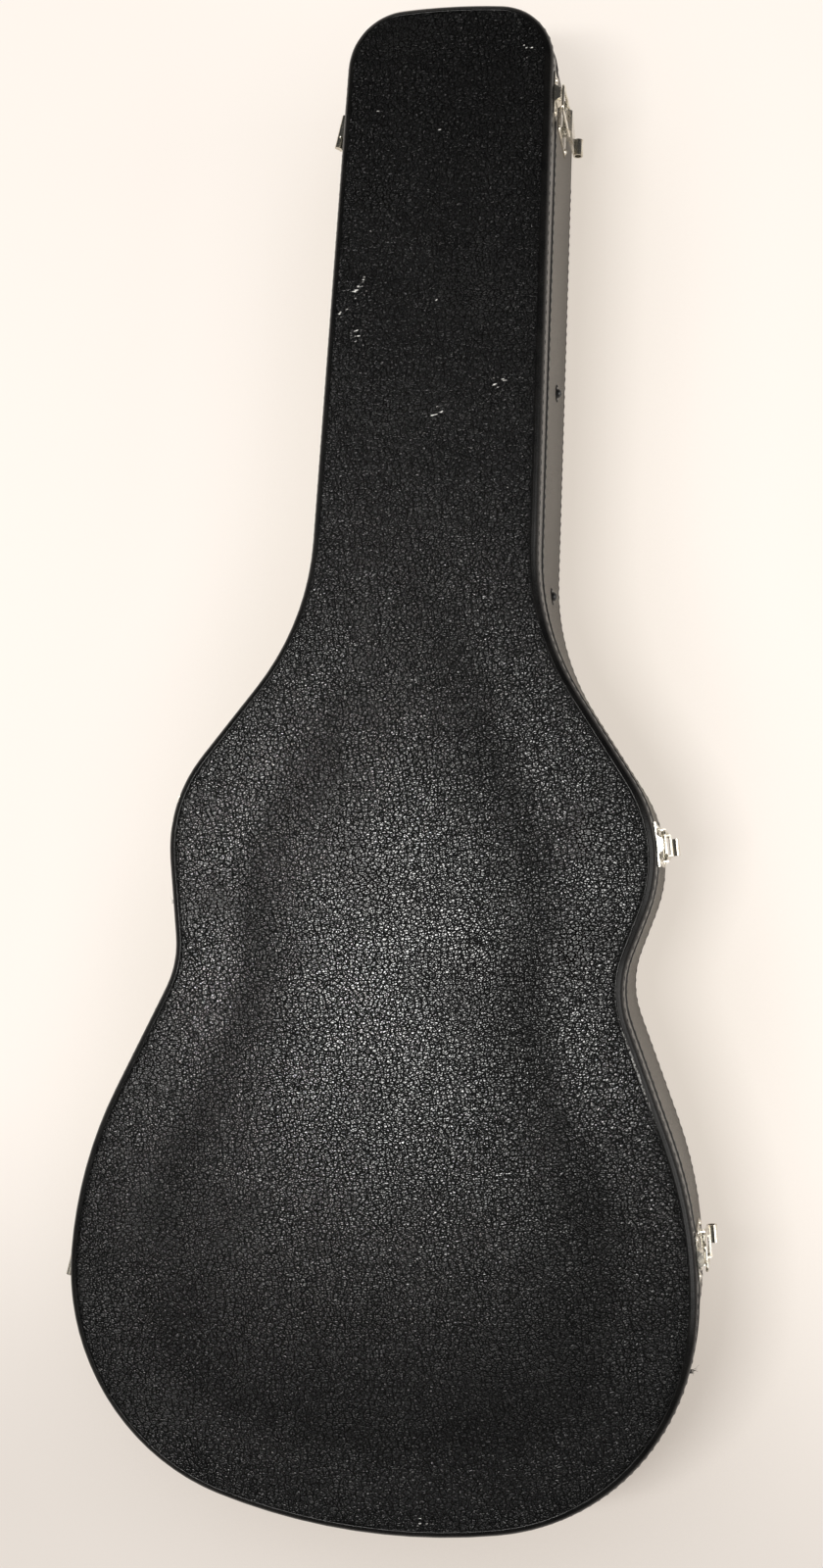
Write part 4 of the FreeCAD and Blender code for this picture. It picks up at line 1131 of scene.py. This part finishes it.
FLOOR_HALF = 12.0
FADE_LOW, FADE_HIGH = -0.60, -0.25      # the floor brightens between these two values of Y
# The floor's painted contact shadow reaches this far from the case.
CONTACT_REACH = 0.16                    # the floor is duller up to this far from the case
# Wash colours of the painted contact shadow, then of the open floor; dull ones for low Y, pale ones for high
# Y.
SHADOW_DULL = (0.350, 0.300, 0.255, 1.0)
SHADOW_PALE = (0.640, 0.575, 0.505, 1.0)
OPEN_DULL = (0.545, 0.492, 0.445, 1.0)
OPEN_PALE = (0.795, 0.730, 0.668, 1.0)
LIT_FLOOR = (0.86, 0.83, 0.78, 1.0)     # what throws light back on the case
SEEN_FLOOR = (0.26, 0.25, 0.24, 1.0)    # what the wash is added to for the camera


def floor_material():
    """Pale floor, duller below the case, with a painted contact shadow close around it, washed with light as
    seen by the camera.
    """
    n = Nodes("floor")
    apart = n.add("ShaderNodeSeparateXYZ")
    n.link(n.place, apart.inputs[0])
    up = n.ramp(apart.outputs["Y"], FADE_LOW, FADE_HIGH)
    path = n.add("ShaderNodeLightPath").outputs
    seen = n.math("MAXIMUM", path["Is Glossy Ray"], path["Is Transmission Ray"])
    seen = n.math("MAXIMUM", path["Is Camera Ray"], seen)
    grain = n.noise(n.place, 300.0, detail=2.0)
    n.bump(grain, 0.05 * MM)
    # Painted shadow: ambient occlusion darkens the camera's wash near the case.
    hidden = n.add("ShaderNodeAmbientOcclusion", samples=8)
    hidden.inputs["Distance"].default_value = CONTACT_REACH
    clear = n.ramp(hidden.outputs["AO"], 0.55, 1.0)
    wash = n.mix(clear, n.mix(up, SHADOW_DULL, SHADOW_PALE), n.mix(up, OPEN_DULL, OPEN_PALE))
    tone = n.mix(seen, LIT_FLOOR, SEEN_FLOOR)
    n.link(wash, n.shader.inputs["Emission Color"])
    n.link(seen, n.shader.inputs["Emission Strength"])
    return n.finish(tone, n.ramp(grain, 0.3, 0.7, 0.85, 0.95), Specular_IOR_Level=0.1)


corners = [(x * FLOOR_HALF, y * FLOOR_HALF, 0) for x, y in ((-1, -1), (1, -1), (1, 1), (-1, 1))]
new_object("floor", corners, [(0, 1, 2, 3)], None, floor_material())

WARM_WHITE = (1.0, 0.98, 0.95)
world = bpy.data.worlds.new("studio")
bpy.context.scene.world = world
world.use_nodes = True
background = world.node_tree.nodes["Background"]
background.inputs["Color"].default_value = (*WARM_WHITE, 1.0)
background.inputs["Strength"].default_value = 0.05


def softbox(name, place, aim, width, height, watts):
    """Soft rectangular lamp; one hung over the case has its height across the case."""
    lamp = bpy.data.lights.new(name, "AREA")
    lamp.shape = "RECTANGLE"
    lamp.size, lamp.size_y = width, height
    lamp.energy = watts
    lamp.color = WARM_WHITE
    holder = bpy.data.objects.new(name, lamp)
    holder.location = place
    holder.rotation_euler = (Vector(aim) - Vector(place)).to_track_quat("-Z", "Y").to_euler()
    bpy.context.scene.collection.objects.link(holder)


MIDDLE = (0.0, 0.0, 0.0)
softbox("key", place=(-0.37, -0.20, 2.0), aim=(0.0, -0.15, 0.0), width=0.16, height=0.70, watts=35)
softbox("left", place=(-2.6, 0.1, 1.1), aim=MIDDLE, width=1.8, height=1.4, watts=5)
softbox("right", place=(2.6, 0.0, 1.1), aim=MIDDLE, width=1.8, height=1.4, watts=40)

CAMERA_PLACE = (0.2292, -0.0915, 1.2117)
CAMERA_TURN = (4.242, 11.519, 3.942)    # degrees about X, Y and Z
SENSOR = 36
LENS = 37.08
camera_data = bpy.data.cameras.new("camera")
camera_data.sensor_width = SENSOR
camera_data.lens = LENS
camera = bpy.data.objects.new("camera", camera_data)
camera.location = CAMERA_PLACE
camera.rotation_euler = [math.radians(angle) for angle in CAMERA_TURN]
bpy.context.scene.collection.objects.link(camera)
bpy.context.scene.camera = camera
bpy.context.scene.view_settings.view_transform = "Standard"
